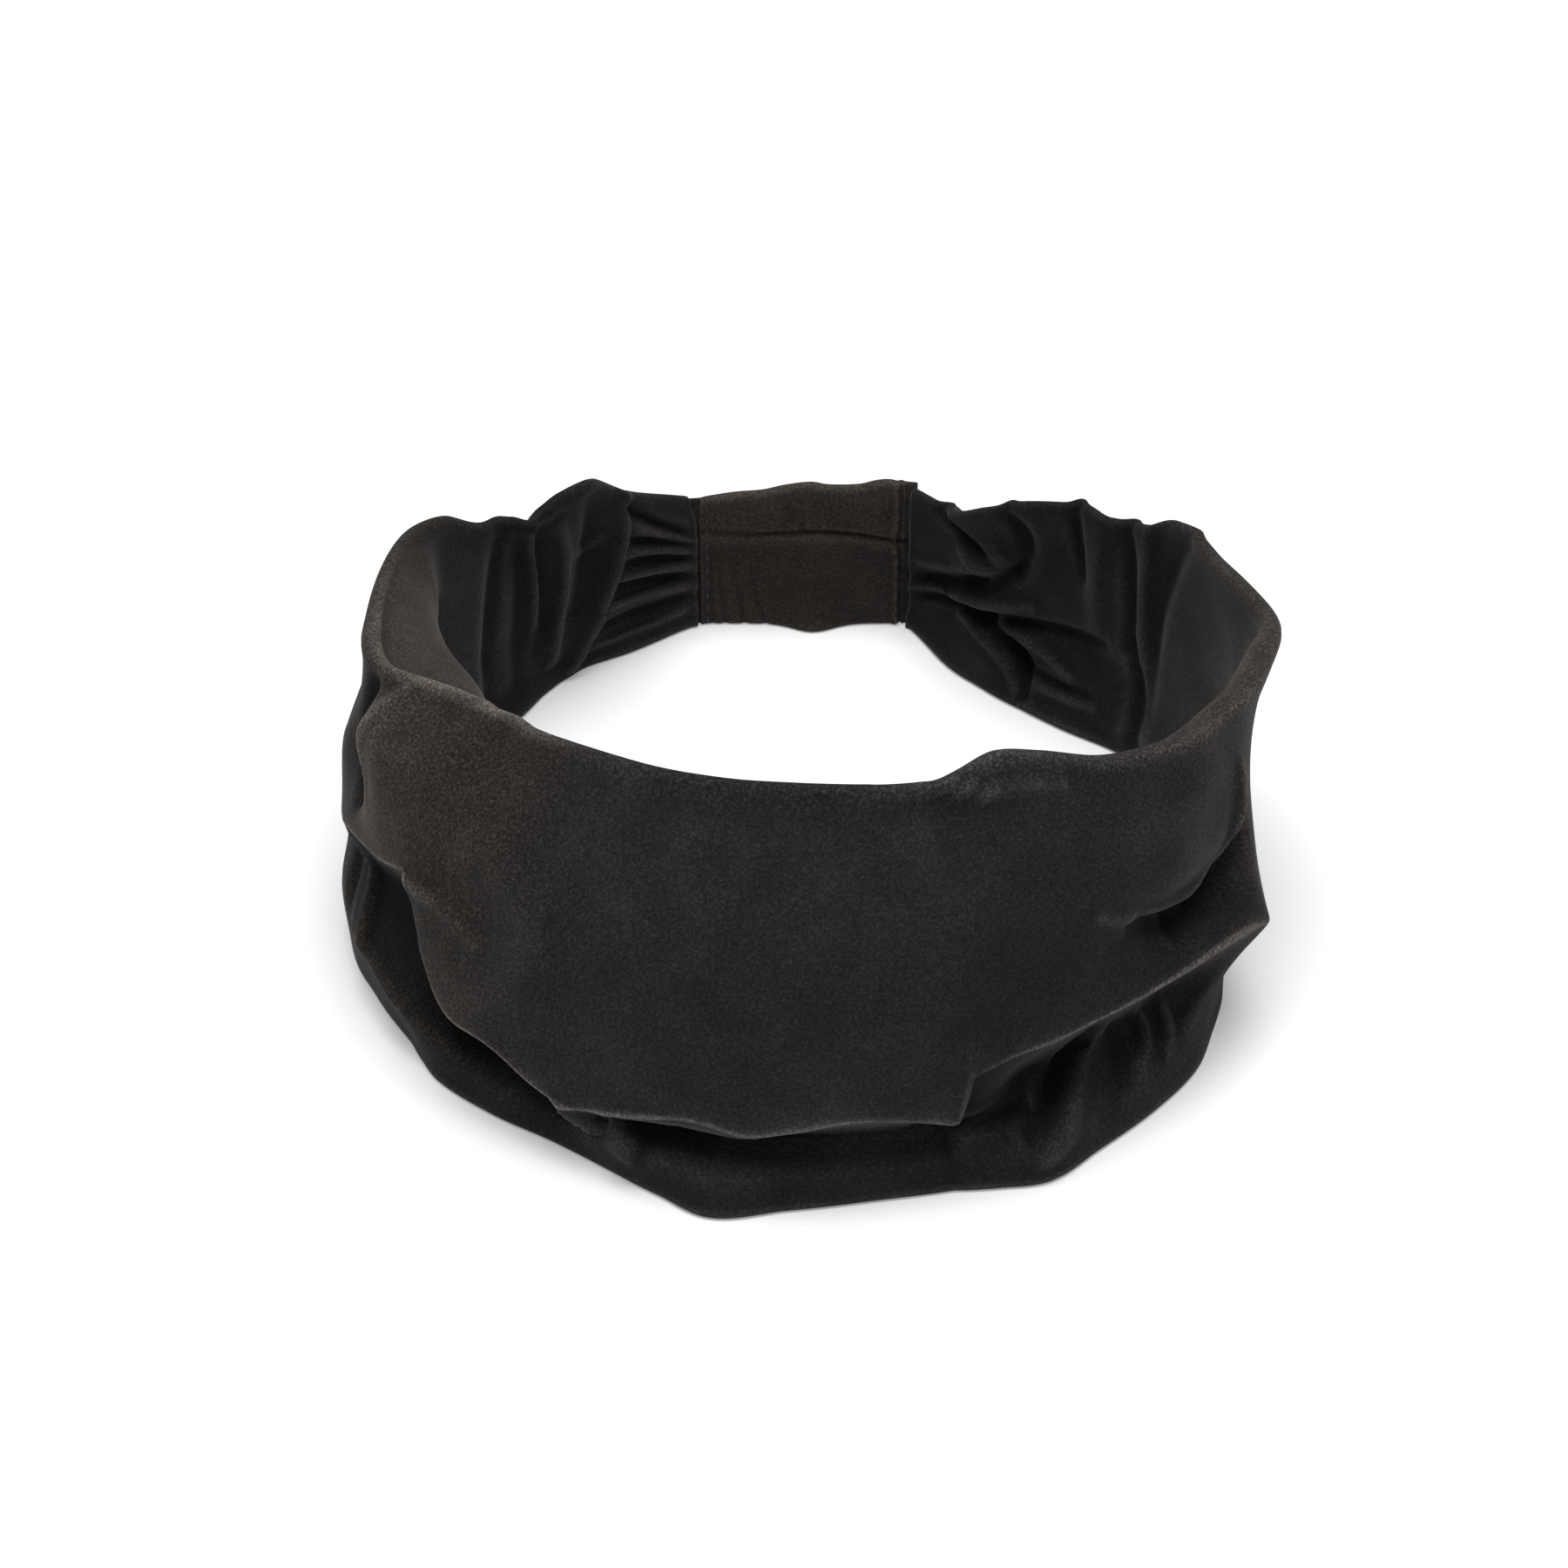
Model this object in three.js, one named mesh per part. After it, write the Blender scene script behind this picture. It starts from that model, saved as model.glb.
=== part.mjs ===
// A wide stretch headband of black doubled jersey, standing on its lower edge as it slumps by itself.
// It has two sewn pieces: the wide band, and the plain flat casing at the back that holds its elastic.
// Millimetres, +Z up. The front of the band faces -Y, and the casing is at +Y.
//
// The band is lofted through upright sections. A section is given by its azimuth round the ring:
// 0 is the front, positive is towards +X, and both ends lie near 180, where the casing is.
import * as THREE from "three";

// Driving dimensions
const WALL = 2.0; // two layers of jersey with the air between them
const EDGE_ROUND = 0.8; // how far the rolled upper edge stands past the last row of the wall
const CROWN_HALF = 0.4; // half width of that edge at its very top
const FOOT_CHAMFER = 0.8; // height of the small chamfer along the lower edge
const FOOT_HALF = 0.6; // half width of the flat that the lower edge stands on
const MEAN_RADIUS = 82; // turns an azimuth into a distance along the cloth
const CALM_HEM = 3; // folds and gathers fade out below this height, so the lower edge lies flat

const CASING_LEFT = -22.3; // the casing's ends
const CASING_RIGHT = 20.6;
const CASING_MIDDLE_Y = 95.6; // the plane of the casing
const CASING_THICK = 3.4; // two layers of jersey over the elastic
const CASING_EDGE_THICK = 2.2; // the same at its ends and along its upper and lower edges
const CASING_TOP_LEFT = 29.6; // height of its upper edge, which rises towards +X
const CASING_TOP_RIGHT = 33.6;
const CASING_WAVE = 0.5; // how high the upper edge's small waves are
const CASING_WAVE_TURNS = 1.6; // how many of them run along the casing
const CASING_WAVE_START = -0.4; // and where they start, in radians
const CASING_EDGE_FULL = 0.3; // how full the sleeve already is at its very edge, of 1
const CASING_EDGE_RISE = 4; // how fast it fills from there to its middle
const SEAM_GAP = 0.35; // between the band's ends and the casing's

const CLOTH_COLOUR = 0x1f1e1d;
const CASING_COLOUR = 0x25221f;

// Mesh steps
const STEPS_FRONT = 60; // sections round the smooth front and sides
const STEPS_BACK = 38; // sections in each gathered back part
const BACK_FROM = 112; // azimuth where a back part starts
const STEPS_UP = [2, 2, 2, 4, 3, 3]; // steps between one named height and the next
const CASING_STEPS_ALONG = 18;
const CASING_STEPS_UP = 12;

// Upright sections of the band's middle layer. R is a distance from the ring's middle and Z a height.
// From the floor up: the hem, the swell of the hem roll, the tuck above it, the crease where the
// panel turns over the tuck, the notch and the ridge on the panel's face, and the rolled rim.
const COLUMNS = [
  "at", "hemR", "swellR", "swellZ", "tuckR", "tuckZ", "creaseR", "creaseZ",
  "notchR", "notchZ", "ridgeR", "ridgeZ", "rimR", "rimZ",
];
const SECTION_ROWS = [
  // left back, from the casing out
  [-166.5, 97, 97, 4.5, 97, 8.5, 97, 13, 97, 18.5, 97, 24, 98, 28.5],
  [-158, 92.5, 94, 5, 93.5, 9, 93, 14.5, 91, 23, 90, 31.5, 90, 36],
  [-150, 91, 91, 5, 90, 9, 89, 16, 86, 27, 83, 39, 81, 49],
  [-144, 88, 88.5, 5.5, 88, 10, 87.5, 17, 85, 28.5, 82.5, 40, 79.5, 49],
  [-138, 84.5, 86, 6, 86, 10.5, 86, 17.5, 84.5, 29, 82.5, 40, 79.5, 47.5],
  [-131, 84.5, 85, 6, 84.5, 11, 84.5, 18, 84, 30, 83, 41, 82.5, 51],
  [-117, 86, 86, 9, 86, 15, 85.5, 22.5, 84.5, 34.5, 82.5, 45.5, 82.5, 57.5],
  // left side
  [-98, 84, 83.5, 11, 83.5, 18, 83.5, 24, 83.5, 36, 79.5, 47, 79, 58],
  [-87, 82, 82.5, 12.5, 79.5, 21.5, 82.5, 28, 78, 44, 78, 52, 76, 59.5],
  [-80, 81, 82, 12.5, 76.5, 23, 81, 31.5, 80, 44, 77.5, 53.5, 68.5, 61.5],
  [-74, 80, 81, 12, 73.5, 25, 79.5, 35, 79, 45, 75.5, 54.5, 64, 63.5],
  [-64, 79, 80.5, 10, 71.5, 25.5, 78.5, 39.5, 77, 47, 71.5, 57, 59.5, 66],
  [-60, 79.3, 80, 9, 71, 18, 78.5, 30, 77, 41.5, 71, 56, 58, 67],
  [-55, 79.5, 78.5, 8, 71, 12, 79, 17.5, 77, 37, 70.5, 55, 57.8, 68],
  // front panel
  [-45, 77.3, 76.5, 6, 70.5, 11, 79, 17, 76.8, 33.5, 70, 53.5, 57.5, 70.5],
  [-36, 75, 75, 5, 71, 8.5, 78.3, 13.5, 76, 32.5, 70, 52.5, 58, 72.2],
  [-27, 75.3, 76.5, 6.5, 73.2, 9.2, 77.8, 13.5, 75.5, 32, 70, 52, 58.2, 73],
  [-19, 78.5, 78.3, 7, 72.3, 10, 77.8, 15, 75.5, 32, 70, 52, 58.4, 73.7],
  [-12, 82.2, 80, 6.5, 71, 10, 77.8, 15.3, 75.5, 32.3, 70, 52, 58.5, 74],
  [-3, 78.8, 77.3, 6, 70.5, 10.5, 78, 15.8, 75.5, 33, 70.2, 52, 58.5, 74.5],
  [8, 76.8, 75.5, 5.5, 70.8, 10.8, 77.7, 17.3, 75.5, 33.5, 70.5, 52.3, 58.5, 74.3],
  [18, 77.5, 76.2, 5.5, 71.5, 11.3, 77, 18, 75.5, 34.5, 71, 53, 58.7, 73.5],
  [23, 79.5, 78.5, 5.7, 71.7, 13, 77.3, 23, 75, 36.5, 71.5, 52.8, 59.4, 74],
  [30, 82.2, 81, 6, 70.3, 15.3, 78, 27, 75.2, 39.3, 72.3, 52, 61, 76.2],
  // right side
  [38, 80.3, 79, 6.5, 70.3, 16, 78.5, 28, 75.5, 40, 74, 50.8, 63.4, 75.2],
  [48, 79.8, 78.7, 6.8, 71, 16, 80, 28.4, 74.7, 38.2, 75.8, 47.5, 67.5, 71.2],
  [58, 80, 78.3, 6.8, 72.7, 15.2, 81.8, 27.8, 74, 36, 77.5, 45.3, 71, 67.8],
  [65, 79, 77.7, 6.4, 74.6, 14.4, 83.2, 26.6, 75, 35, 78, 45.2, 72.5, 66],
  [71, 78, 77, 6.2, 75.9, 14, 84.3, 25.2, 79.3, 36, 78.2, 48, 73.8, 64.6],
  [77, 76.8, 76, 6, 76, 14, 80.5, 25, 77.5, 37, 77.3, 50, 75.3, 63.2],
  [86, 76.8, 76.4, 6.8, 76.6, 14.4, 77.6, 26, 76.6, 38, 77.7, 48.6, 77.7, 61.3],
  [96, 77.3, 77.2, 8, 77.7, 15, 78.2, 26, 78, 38, 80, 48, 81.3, 59.3],
  [112, 79.2, 80, 8, 81, 15, 82, 24, 82, 36, 82.5, 46, 81, 56.8],
  // right back, towards the casing
  [124, 81, 80, 6.3, 81.5, 12.6, 82, 20.5, 82, 32.5, 82, 43.5, 82, 55.3],
  [131, 80.3, 80, 5, 81.5, 11, 82, 18, 82, 30, 81.5, 41, 80.7, 50.3],
  [140, 78.5, 80.5, 5, 82, 10.7, 82.5, 17.5, 82, 28, 81.5, 38.5, 80, 50],
  [149, 80, 81.3, 5, 82.5, 10.3, 83, 17, 82, 26.3, 81.5, 35.7, 78, 46.5],
  [155, 82.5, 82.3, 5, 83.5, 10, 83.5, 16, 82.5, 24.7, 82, 33.5, 80.5, 41.8],
  [161, 87.5, 89, 4.7, 90, 9.5, 90, 15, 88.5, 22, 88, 30, 86.3, 36.3],
  [167.5, 97, 97, 4.5, 97, 9, 97, 14, 97, 19, 97, 26, 97, 32],
];

// The crease is drawn sharper than the other heights: 1 is a full round bend, 0 is a corner.
const BEND = { hem: 0.7, swell: 0.8, tuck: 0.8, crease: 0.45, notch: 1, ridge: 0.8, rim: 0.8 };
const HEIGHTS = Object.keys(BEND);

// Folds pressed into the wall, each along a curve through three points of the cloth, given as an
// azimuth and a height. A positive depth stands outwards and a negative one inwards.
const FOLD_COLUMNS = ["name", "at0", "z0", "at1", "z1", "at2", "z2", "width", "depth"];
const FOLD_ROWS = [
  ["left pleat by the casing", -155, 41, -153, 22, -149, 5, 2.8, -3.4],
  ["left pocket under the peak", -149, 47, -150.5, 34, -149, 20, 3.4, 2.6],
  ["left second pleat", -143.5, 47, -147, 29, -146, 7, 2.6, -2.6],
  ["left valley", -141.3, 45, -143.5, 28, -144, 12, 2.4, 2.2],
  ["left third pleat", -138, 48.5, -141, 32, -140.5, 9, 2.6, -2.4],
  ["left corner", -133, 50, -132, 30, -131, 6, 3, 2],
  ["left slanting fold", -116, 52, -123, 40, -130, 18, 3, -1.4],
  ["right valley at the casing", 168, 10.5, 161, 18.5, 153, 26.5, 2.8, 3],
  ["right valley to the rim", 153, 27, 149, 31, 147.5, 44, 3, 2.6],
  ["right lip", 157.5, 28.5, 153, 29, 151, 38, 2.4, -2.6],
  ["right pillow", 168, 24, 161, 27, 156, 28, 3, -1.6],
  ["right long ridge", 167, 8, 158, 17, 146, 24, 2.6, -2.2],
  ["right sweeping crease, top", 167, 8, 160, 13.5, 154, 13.8, 2.8, 2],
  ["right sweeping crease, foot", 155, 14, 150.5, 10, 144, 1.5, 3, 2.2],
  ["right fold under it", 160, 10.5, 152, 8, 148, 0.5, 2.8, -1.4],
  ["right branch", 158, 16.5, 150, 17.5, 136, 19.5, 2.6, 2.2],
  ["right low hollow", 148, 12, 140, 11, 133, 10, 5, 1.2],
  ["right second pleat", 136, 49, 137.2, 38, 137, 24, 3.2, -2.2],
  ["right valley", 133, 45, 131.8, 28, 130.3, 4, 2.8, 2.6],
  ["right corner", 121, 58, 126, 38, 128, 5, 2.8, 1.8],
  ["hollow, first valley", 48, 18.5, 39, 14.5, 30, 9, 2.8, -2.2],
  ["hollow, ridge", 51, 16, 42, 12.5, 34.5, 9, 2.6, 2.2],
  ["hollow, second valley", 50, 17.5, 52, 12, 49, 7.5, 2.8, -1.6],
  ["tip edge", 71, 28, 71.8, 36, 75, 46, 2.6, 1.2],
  ["panel crease, right", 34, 52, 50, 47.5, 66, 45.5, 2.8, 1.3],
  ["hollow under that crease", 44, 46.5, 57, 41, 66, 38, 3.6, -1.8],
  ["left low ridge", -89, 19, -80, 15.5, -72, 12, 2.8, 1.6],
  ["panel bulge, left", -52, 52, -39, 42, -52, 19, 4.5, 1.5],
  ["left side dent", -88, 57, -87, 46, -87, 37, 3, -2.6],
  ["front crease tail", -36, 11.5, -29, 9.3, -22, 6.5, 2.4, 1.4],
  ["front pocket", -28, 9.5, -22, 9.5, -14, 9.5, 2.8, -1.8],
];

// The gathers at the band's two ends fan out from the casing and die away along the cloth.
const GATHER_COLUMNS = ["at", "reach", "low", "pitch", "spread", "depth"];
const GATHER_ROWS = [
  [-166.5, 17, 3, 3.4, 1, 1.1],
  [167.5, 12, 2.5, 4.4, 0.8, 0.9],
];

const named = (columns, rows) =>
  rows.map((row) => Object.fromEntries(columns.map((name, i) => [name, row[i]])));
const GATHER_UNEVEN = 0.35; // how much the gathers differ from each other, of their depth
const GATHER_UNEVEN_RATE = 2.1; // how quickly that changes from one gather to the next
const GATHER_UNEVEN_START = 0.7;
const GATHER_DIE_AWAY = 1.3; // how soon the gathers get shallow along the cloth
const FOLD_END = 0.15; // the share of its swell that a fold's two ends skip
const FOLD_BLUNT = 0.7; // under 1 keeps a fold deep for more of its length

const SECTIONS = named(COLUMNS, SECTION_ROWS);
const FOLDS = named(FOLD_COLUMNS, FOLD_ROWS);
const GATHERS = named(GATHER_COLUMNS, GATHER_ROWS);
const FIRST = SECTIONS[0].at;
const LAST = SECTIONS[SECTIONS.length - 1].at;

const mix = (a, b, t) => a + (b - a) * t;
const clamp01 = (x) => Math.min(1, Math.max(0, x));
const radians = THREE.MathUtils.degToRad;

// One cubic from a to b over a length, with the slopes at its ends.
function cubic(a, b, slopeA, slopeB, length, t) {
  const t2 = t * t;
  const t3 = t2 * t;
  return (
    (2 * t3 - 3 * t2 + 1) * a +
    (t3 - 2 * t2 + t) * length * slopeA +
    (3 * t2 - 2 * t3) * b +
    (t3 - t2) * length * slopeB
  );
}

// A column of the section table, smoothed round the ring.
function columnAt(name, at) {
  const last = SECTIONS.length - 1;
  const value = (i) => SECTIONS[i][name];
  const step = (i) => SECTIONS[i + 1].at - SECTIONS[i].at;
  const rise = (i) => (value(i + 1) - value(i)) / step(i);
  const slope = (i) => {
    if (i === 0) return rise(0);
    if (i === last) return rise(last - 1);
    return (rise(i - 1) * step(i - 1) + rise(i) * step(i)) / (step(i - 1) + step(i));
  };
  let i = 0;
  while (i < last - 1 && SECTIONS[i + 1].at <= at) i += 1;
  const t = clamp01((at - SECTIONS[i].at) / step(i));
  return cubic(value(i), value(i + 1), slope(i), slope(i + 1), step(i), t);
}

// The section at an azimuth, as points of radius and height from the hem to the rim.
function sectionAt(at) {
  const stops = HEIGHTS.map((name) => {
    const height = name === "hem" ? FOOT_CHAMFER : columnAt(name + "Z", at);
    return new THREE.Vector2(columnAt(name + "R", at), height);
  });
  const spans = stops.slice(1).map((stop, i) => stop.distanceTo(stops[i]));
  const runs = spans.map((span, i) => stops[i + 1].clone().sub(stops[i]).divideScalar(span));
  const bends = stops.map((_, i) => {
    if (i === 0) return runs[0];
    if (i === runs.length) return runs[i - 1];
    const sum = runs[i - 1].clone().multiplyScalar(spans[i]);
    sum.addScaledVector(runs[i], spans[i - 1]);
    return sum.divideScalar(spans[i - 1] + spans[i]);
  });
  const points = [stops[0]];
  spans.forEach((span, i) => {
    const out = bends[i].clone().multiplyScalar(BEND[HEIGHTS[i]]);
    const into = bends[i + 1].clone().multiplyScalar(BEND[HEIGHTS[i + 1]]);
    for (let k = 1; k <= STEPS_UP[i]; k += 1) {
      const t = k / STEPS_UP[i];
      const r = cubic(stops[i].x, stops[i + 1].x, out.x, into.x, span, t);
      const z = cubic(stops[i].y, stops[i + 1].y, out.y, into.y, span, t);
      points.push(new THREE.Vector2(r, z));
    }
  });
  return points;
}

// Each fold's curve, laid out flat: distance along the cloth against height.
const FOLD_STEPS = 12;
const alongCloth = (at) => radians(at) * MEAN_RADIUS;
const foldCurves = FOLDS.map((fold) => {
  const from = new THREE.Vector2(alongCloth(fold.at0), fold.z0);
  const through = new THREE.Vector2(alongCloth(fold.at1), fold.z1);
  const to = new THREE.Vector2(alongCloth(fold.at2), fold.z2);
  const pull = through.multiplyScalar(2).addScaledVector(from, -0.5).addScaledVector(to, -0.5);
  return new THREE.QuadraticBezierCurve(from, pull, to).getPoints(FOLD_STEPS);
});

// How far the folds push the cloth outwards at a place. A fold is deepest at its middle.
function foldLift(at, z) {
  const place = new THREE.Vector2(alongCloth(at), z);
  let lift = 0;
  FOLDS.forEach((fold, f) => {
    let nearest = Infinity;
    let along = 0;
    for (let k = 0; k < FOLD_STEPS; k += 1) {
      const start = foldCurves[f][k];
      const run = foldCurves[f][k + 1].clone().sub(start);
      const t = clamp01(place.clone().sub(start).dot(run) / run.lengthSq());
      const gap = place.distanceToSquared(run.multiplyScalar(t).add(start));
      if (gap < nearest) {
        nearest = gap;
        along = (k + t) / FOLD_STEPS;
      }
    }
    const swell = Math.sin(Math.PI * mix(FOLD_END, 1 - FOLD_END, along)) ** FOLD_BLUNT;
    lift += fold.depth * swell * Math.exp(-nearest / fold.width ** 2);
  });
  return lift;
}

// How far the gathers push the cloth outwards: waves up the wall that widen away from the casing.
function gatherLift(at, z) {
  let lift = 0;
  GATHERS.forEach((gather) => {
    const away = Math.abs(at - gather.at) / gather.reach;
    if (away >= 1) return;
    const turns = (z - gather.low) / (gather.pitch * (1 + gather.spread * away));
    const uneven = 1 + GATHER_UNEVEN * Math.sin(GATHER_UNEVEN_RATE * turns + GATHER_UNEVEN_START);
    const fade = (1 - away) ** GATHER_DIE_AWAY;
    lift -= gather.depth * fade * uneven * Math.cos(2 * Math.PI * turns);
  });
  return lift;
}

// A flat list of triangles as a mesh.
function meshOf(name, corners, faces, material) {
  const geometry = new THREE.BufferGeometry();
  geometry.setAttribute("position", new THREE.Float32BufferAttribute(corners.flat(), 3));
  geometry.setIndex(faces);
  geometry.computeVertexNormals();
  const mesh = new THREE.Mesh(geometry, material);
  mesh.name = name;
  return mesh;
}

const cloth = (color) =>
  new THREE.MeshStandardMaterial({ color, roughness: 0.95, metalness: 0, side: THREE.DoubleSide });

// Rings of corners joined by quads, closed round each ring and capped at both ends. Corner i of a
// ring faces corner (count - 1 - i), so the caps are ladders between the ring's two sides.
function loftRings(rings) {
  const count = rings[0].length;
  const faces = [];
  const quad = (a, b, c, d) => faces.push(a, b, c, a, c, d);
  for (let s = 0; s < rings.length - 1; s += 1) {
    for (let i = 0; i < count; i += 1) {
      const j = (i + 1) % count;
      quad(s * count + i, (s + 1) * count + i, (s + 1) * count + j, s * count + j);
    }
  }
  const end = (rings.length - 1) * count;
  for (let i = 0; i < count / 2 - 1; i += 1) {
    const across = count - 1 - i;
    quad(i, i + 1, across - 1, across);
    quad(end + i, end + across, end + across - 1, end + i + 1);
  }
  return { corners: rings.flat(), faces };
}

// The azimuths of the band's sections, closer together in the gathered back parts.
function azimuths() {
  const list = [];
  const spread = (from, to, steps) => {
    for (let k = 0; k < steps; k += 1) list.push(mix(from, to, k / steps));
  };
  spread(FIRST, -BACK_FROM, STEPS_BACK);
  spread(-BACK_FROM, BACK_FROM, STEPS_FRONT);
  spread(BACK_FROM, LAST, STEPS_BACK);
  return [...list, LAST];
}

function makeBand() {
  const stations = azimuths();
  const sections = stations.map(sectionAt);
  const rings = stations.map((at, s) => {
    const section = sections[s];
    const a = radians(at);
    const outwards = new THREE.Vector3(Math.sin(a), -Math.cos(a), 0);
    const upwards = new THREE.Vector3(0, 0, 1);
    const last = section.length - 1;
    const side = (i, offset, rise) => {
      const low = section[Math.max(0, i - 1)];
      const high = section[Math.min(last, i + 1)];
      const face = new THREE.Vector2(high.y - low.y, low.x - high.x).normalize();
      const height = section[i].y;
      const lift = (foldLift(at, height) + gatherLift(at, height)) * clamp01(height / CALM_HEM);
      const r = section[i].x + face.x * offset + lift - face.y * rise;
      const z = height + face.y * offset + face.x * rise;
      const place = outwards.clone().multiplyScalar(r).addScaledVector(upwards, z);
      // the two ends are trimmed square, so that they meet the casing's ends
      if (s === 0) place.x = CASING_LEFT - SEAM_GAP;
      if (s === stations.length - 1) place.x = CASING_RIGHT + SEAM_GAP;
      return place;
    };
    const outer = section.map((_, i) => side(i, WALL / 2, 0));
    const inner = section.map((_, i) => side(i, -WALL / 2, 0));
    const crown = [side(last, CROWN_HALF, EDGE_ROUND), side(last, -CROWN_HALF, EDGE_ROUND)];
    const foot = [FOOT_HALF, -FOOT_HALF].map((offset) => {
      const place = side(0, offset, 0);
      place.z = 0;
      return place;
    });
    return [foot[0], ...outer, ...crown, ...inner.reverse(), foot[1]].map((p) => p.toArray());
  });
  const { corners, faces } = loftRings(rings);
  return meshOf("band", corners, faces, cloth(CLOTH_COLOUR));
}

// How full the sleeve is at a share of its length or height: 1 in its middle, less at its edges.
const fullness = (share) =>
  Math.min(1, CASING_EDGE_FULL + CASING_EDGE_RISE * Math.min(share, 1 - share));

// The casing: a flat sleeve, fuller in its middle, with a level foot and a slanting upper edge.
function makeCasing() {
  const rings = [];
  for (let s = 0; s <= CASING_STEPS_ALONG; s += 1) {
    const along = s / CASING_STEPS_ALONG;
    const wave = Math.sin(2 * Math.PI * CASING_WAVE_TURNS * along + CASING_WAVE_START);
    const top = mix(CASING_TOP_LEFT, CASING_TOP_RIGHT, along) + CASING_WAVE * wave;
    const x = mix(CASING_LEFT, CASING_RIGHT, along);
    const endways = fullness(along);
    const front = [];
    const back = [];
    for (let i = 0; i <= CASING_STEPS_UP; i += 1) {
      const up = i / CASING_STEPS_UP;
      const half = mix(CASING_EDGE_THICK, CASING_THICK, Math.sqrt(endways * fullness(up))) / 2;
      front.push([x, CASING_MIDDLE_Y - half, top * up]);
      back.unshift([x, CASING_MIDDLE_Y + half, top * up]);
    }
    rings.push([...front, ...back]);
  }
  const { corners, faces } = loftRings(rings);
  return meshOf("elastic_casing", corners, faces, cloth(CASING_COLOUR));
}

const headband = new THREE.Group();
headband.name = "wide_headband";
headband.add(makeBand(), makeCasing());

// The origin is under the middle of the whole part's box, on the surface that it stands on.
const box = new THREE.Box3().setFromObject(headband);
const middle = box.getCenter(new THREE.Vector3());
headband.position.set(-middle.x, -middle.y, 0);

export default headband;
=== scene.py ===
import math

import bpy
import numpy as np
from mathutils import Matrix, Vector


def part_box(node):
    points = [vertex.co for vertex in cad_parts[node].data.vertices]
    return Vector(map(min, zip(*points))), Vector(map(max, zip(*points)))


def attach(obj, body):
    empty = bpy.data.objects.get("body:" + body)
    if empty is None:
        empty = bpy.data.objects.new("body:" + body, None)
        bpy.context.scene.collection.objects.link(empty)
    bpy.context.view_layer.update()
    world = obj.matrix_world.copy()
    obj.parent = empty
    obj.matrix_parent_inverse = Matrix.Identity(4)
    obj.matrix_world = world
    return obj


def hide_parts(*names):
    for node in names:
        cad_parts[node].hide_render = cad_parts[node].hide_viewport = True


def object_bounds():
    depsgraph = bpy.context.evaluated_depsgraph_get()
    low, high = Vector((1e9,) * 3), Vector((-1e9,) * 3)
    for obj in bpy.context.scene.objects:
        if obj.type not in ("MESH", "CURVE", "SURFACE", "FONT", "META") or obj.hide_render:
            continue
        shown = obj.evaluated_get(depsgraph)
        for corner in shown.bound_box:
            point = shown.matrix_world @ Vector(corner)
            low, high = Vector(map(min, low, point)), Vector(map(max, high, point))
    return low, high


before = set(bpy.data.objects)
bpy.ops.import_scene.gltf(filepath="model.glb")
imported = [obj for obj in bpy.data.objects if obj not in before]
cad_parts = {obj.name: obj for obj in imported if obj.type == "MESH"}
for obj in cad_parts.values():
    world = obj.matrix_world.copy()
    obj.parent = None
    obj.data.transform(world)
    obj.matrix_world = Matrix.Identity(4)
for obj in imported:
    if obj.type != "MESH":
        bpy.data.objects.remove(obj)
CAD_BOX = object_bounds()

MM = 0.001  # one millimetre in metres

# ------------ driving sizes, in millimetres
WALL = 2.0  # two layers of jersey with the air between them
RIM_WALL = 2.9  # the same where the sleeve is folded over at its upper edge
RIM_DEPTH = 4.0  # how far down that fuller edge reaches, and how far up the lower fold does
RIM_CROWN = 1.5  # how far the fold of that edge rises over it
FOOT_WALL = 2.2  # the same at the sleeve's lower fold
MEAN_RADIUS = 82.0  # turns an azimuth into a distance along the cloth
CALM_HEM = 3.0  # folds fade out below this height, so that the lower edge lies flat

CASING_LEFT = -22.3
CASING_RIGHT = 20.6
CASING_MIDDLE_Y = 95.6
CASING_THICK = 3.4
CASING_EDGE_THICK = 2.2
SEAM_GAP = 0.35  # between the band's ends and the casing's
SEAM_SLANT = 2.4  # how far that gap runs sideways through the wall, which hides it from the front
SEAM_CALM = 3.0  # gathers flatten over this distance before the seam
SEAM_KEPT = 0.3  # the share of them that is left at the seam

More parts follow.
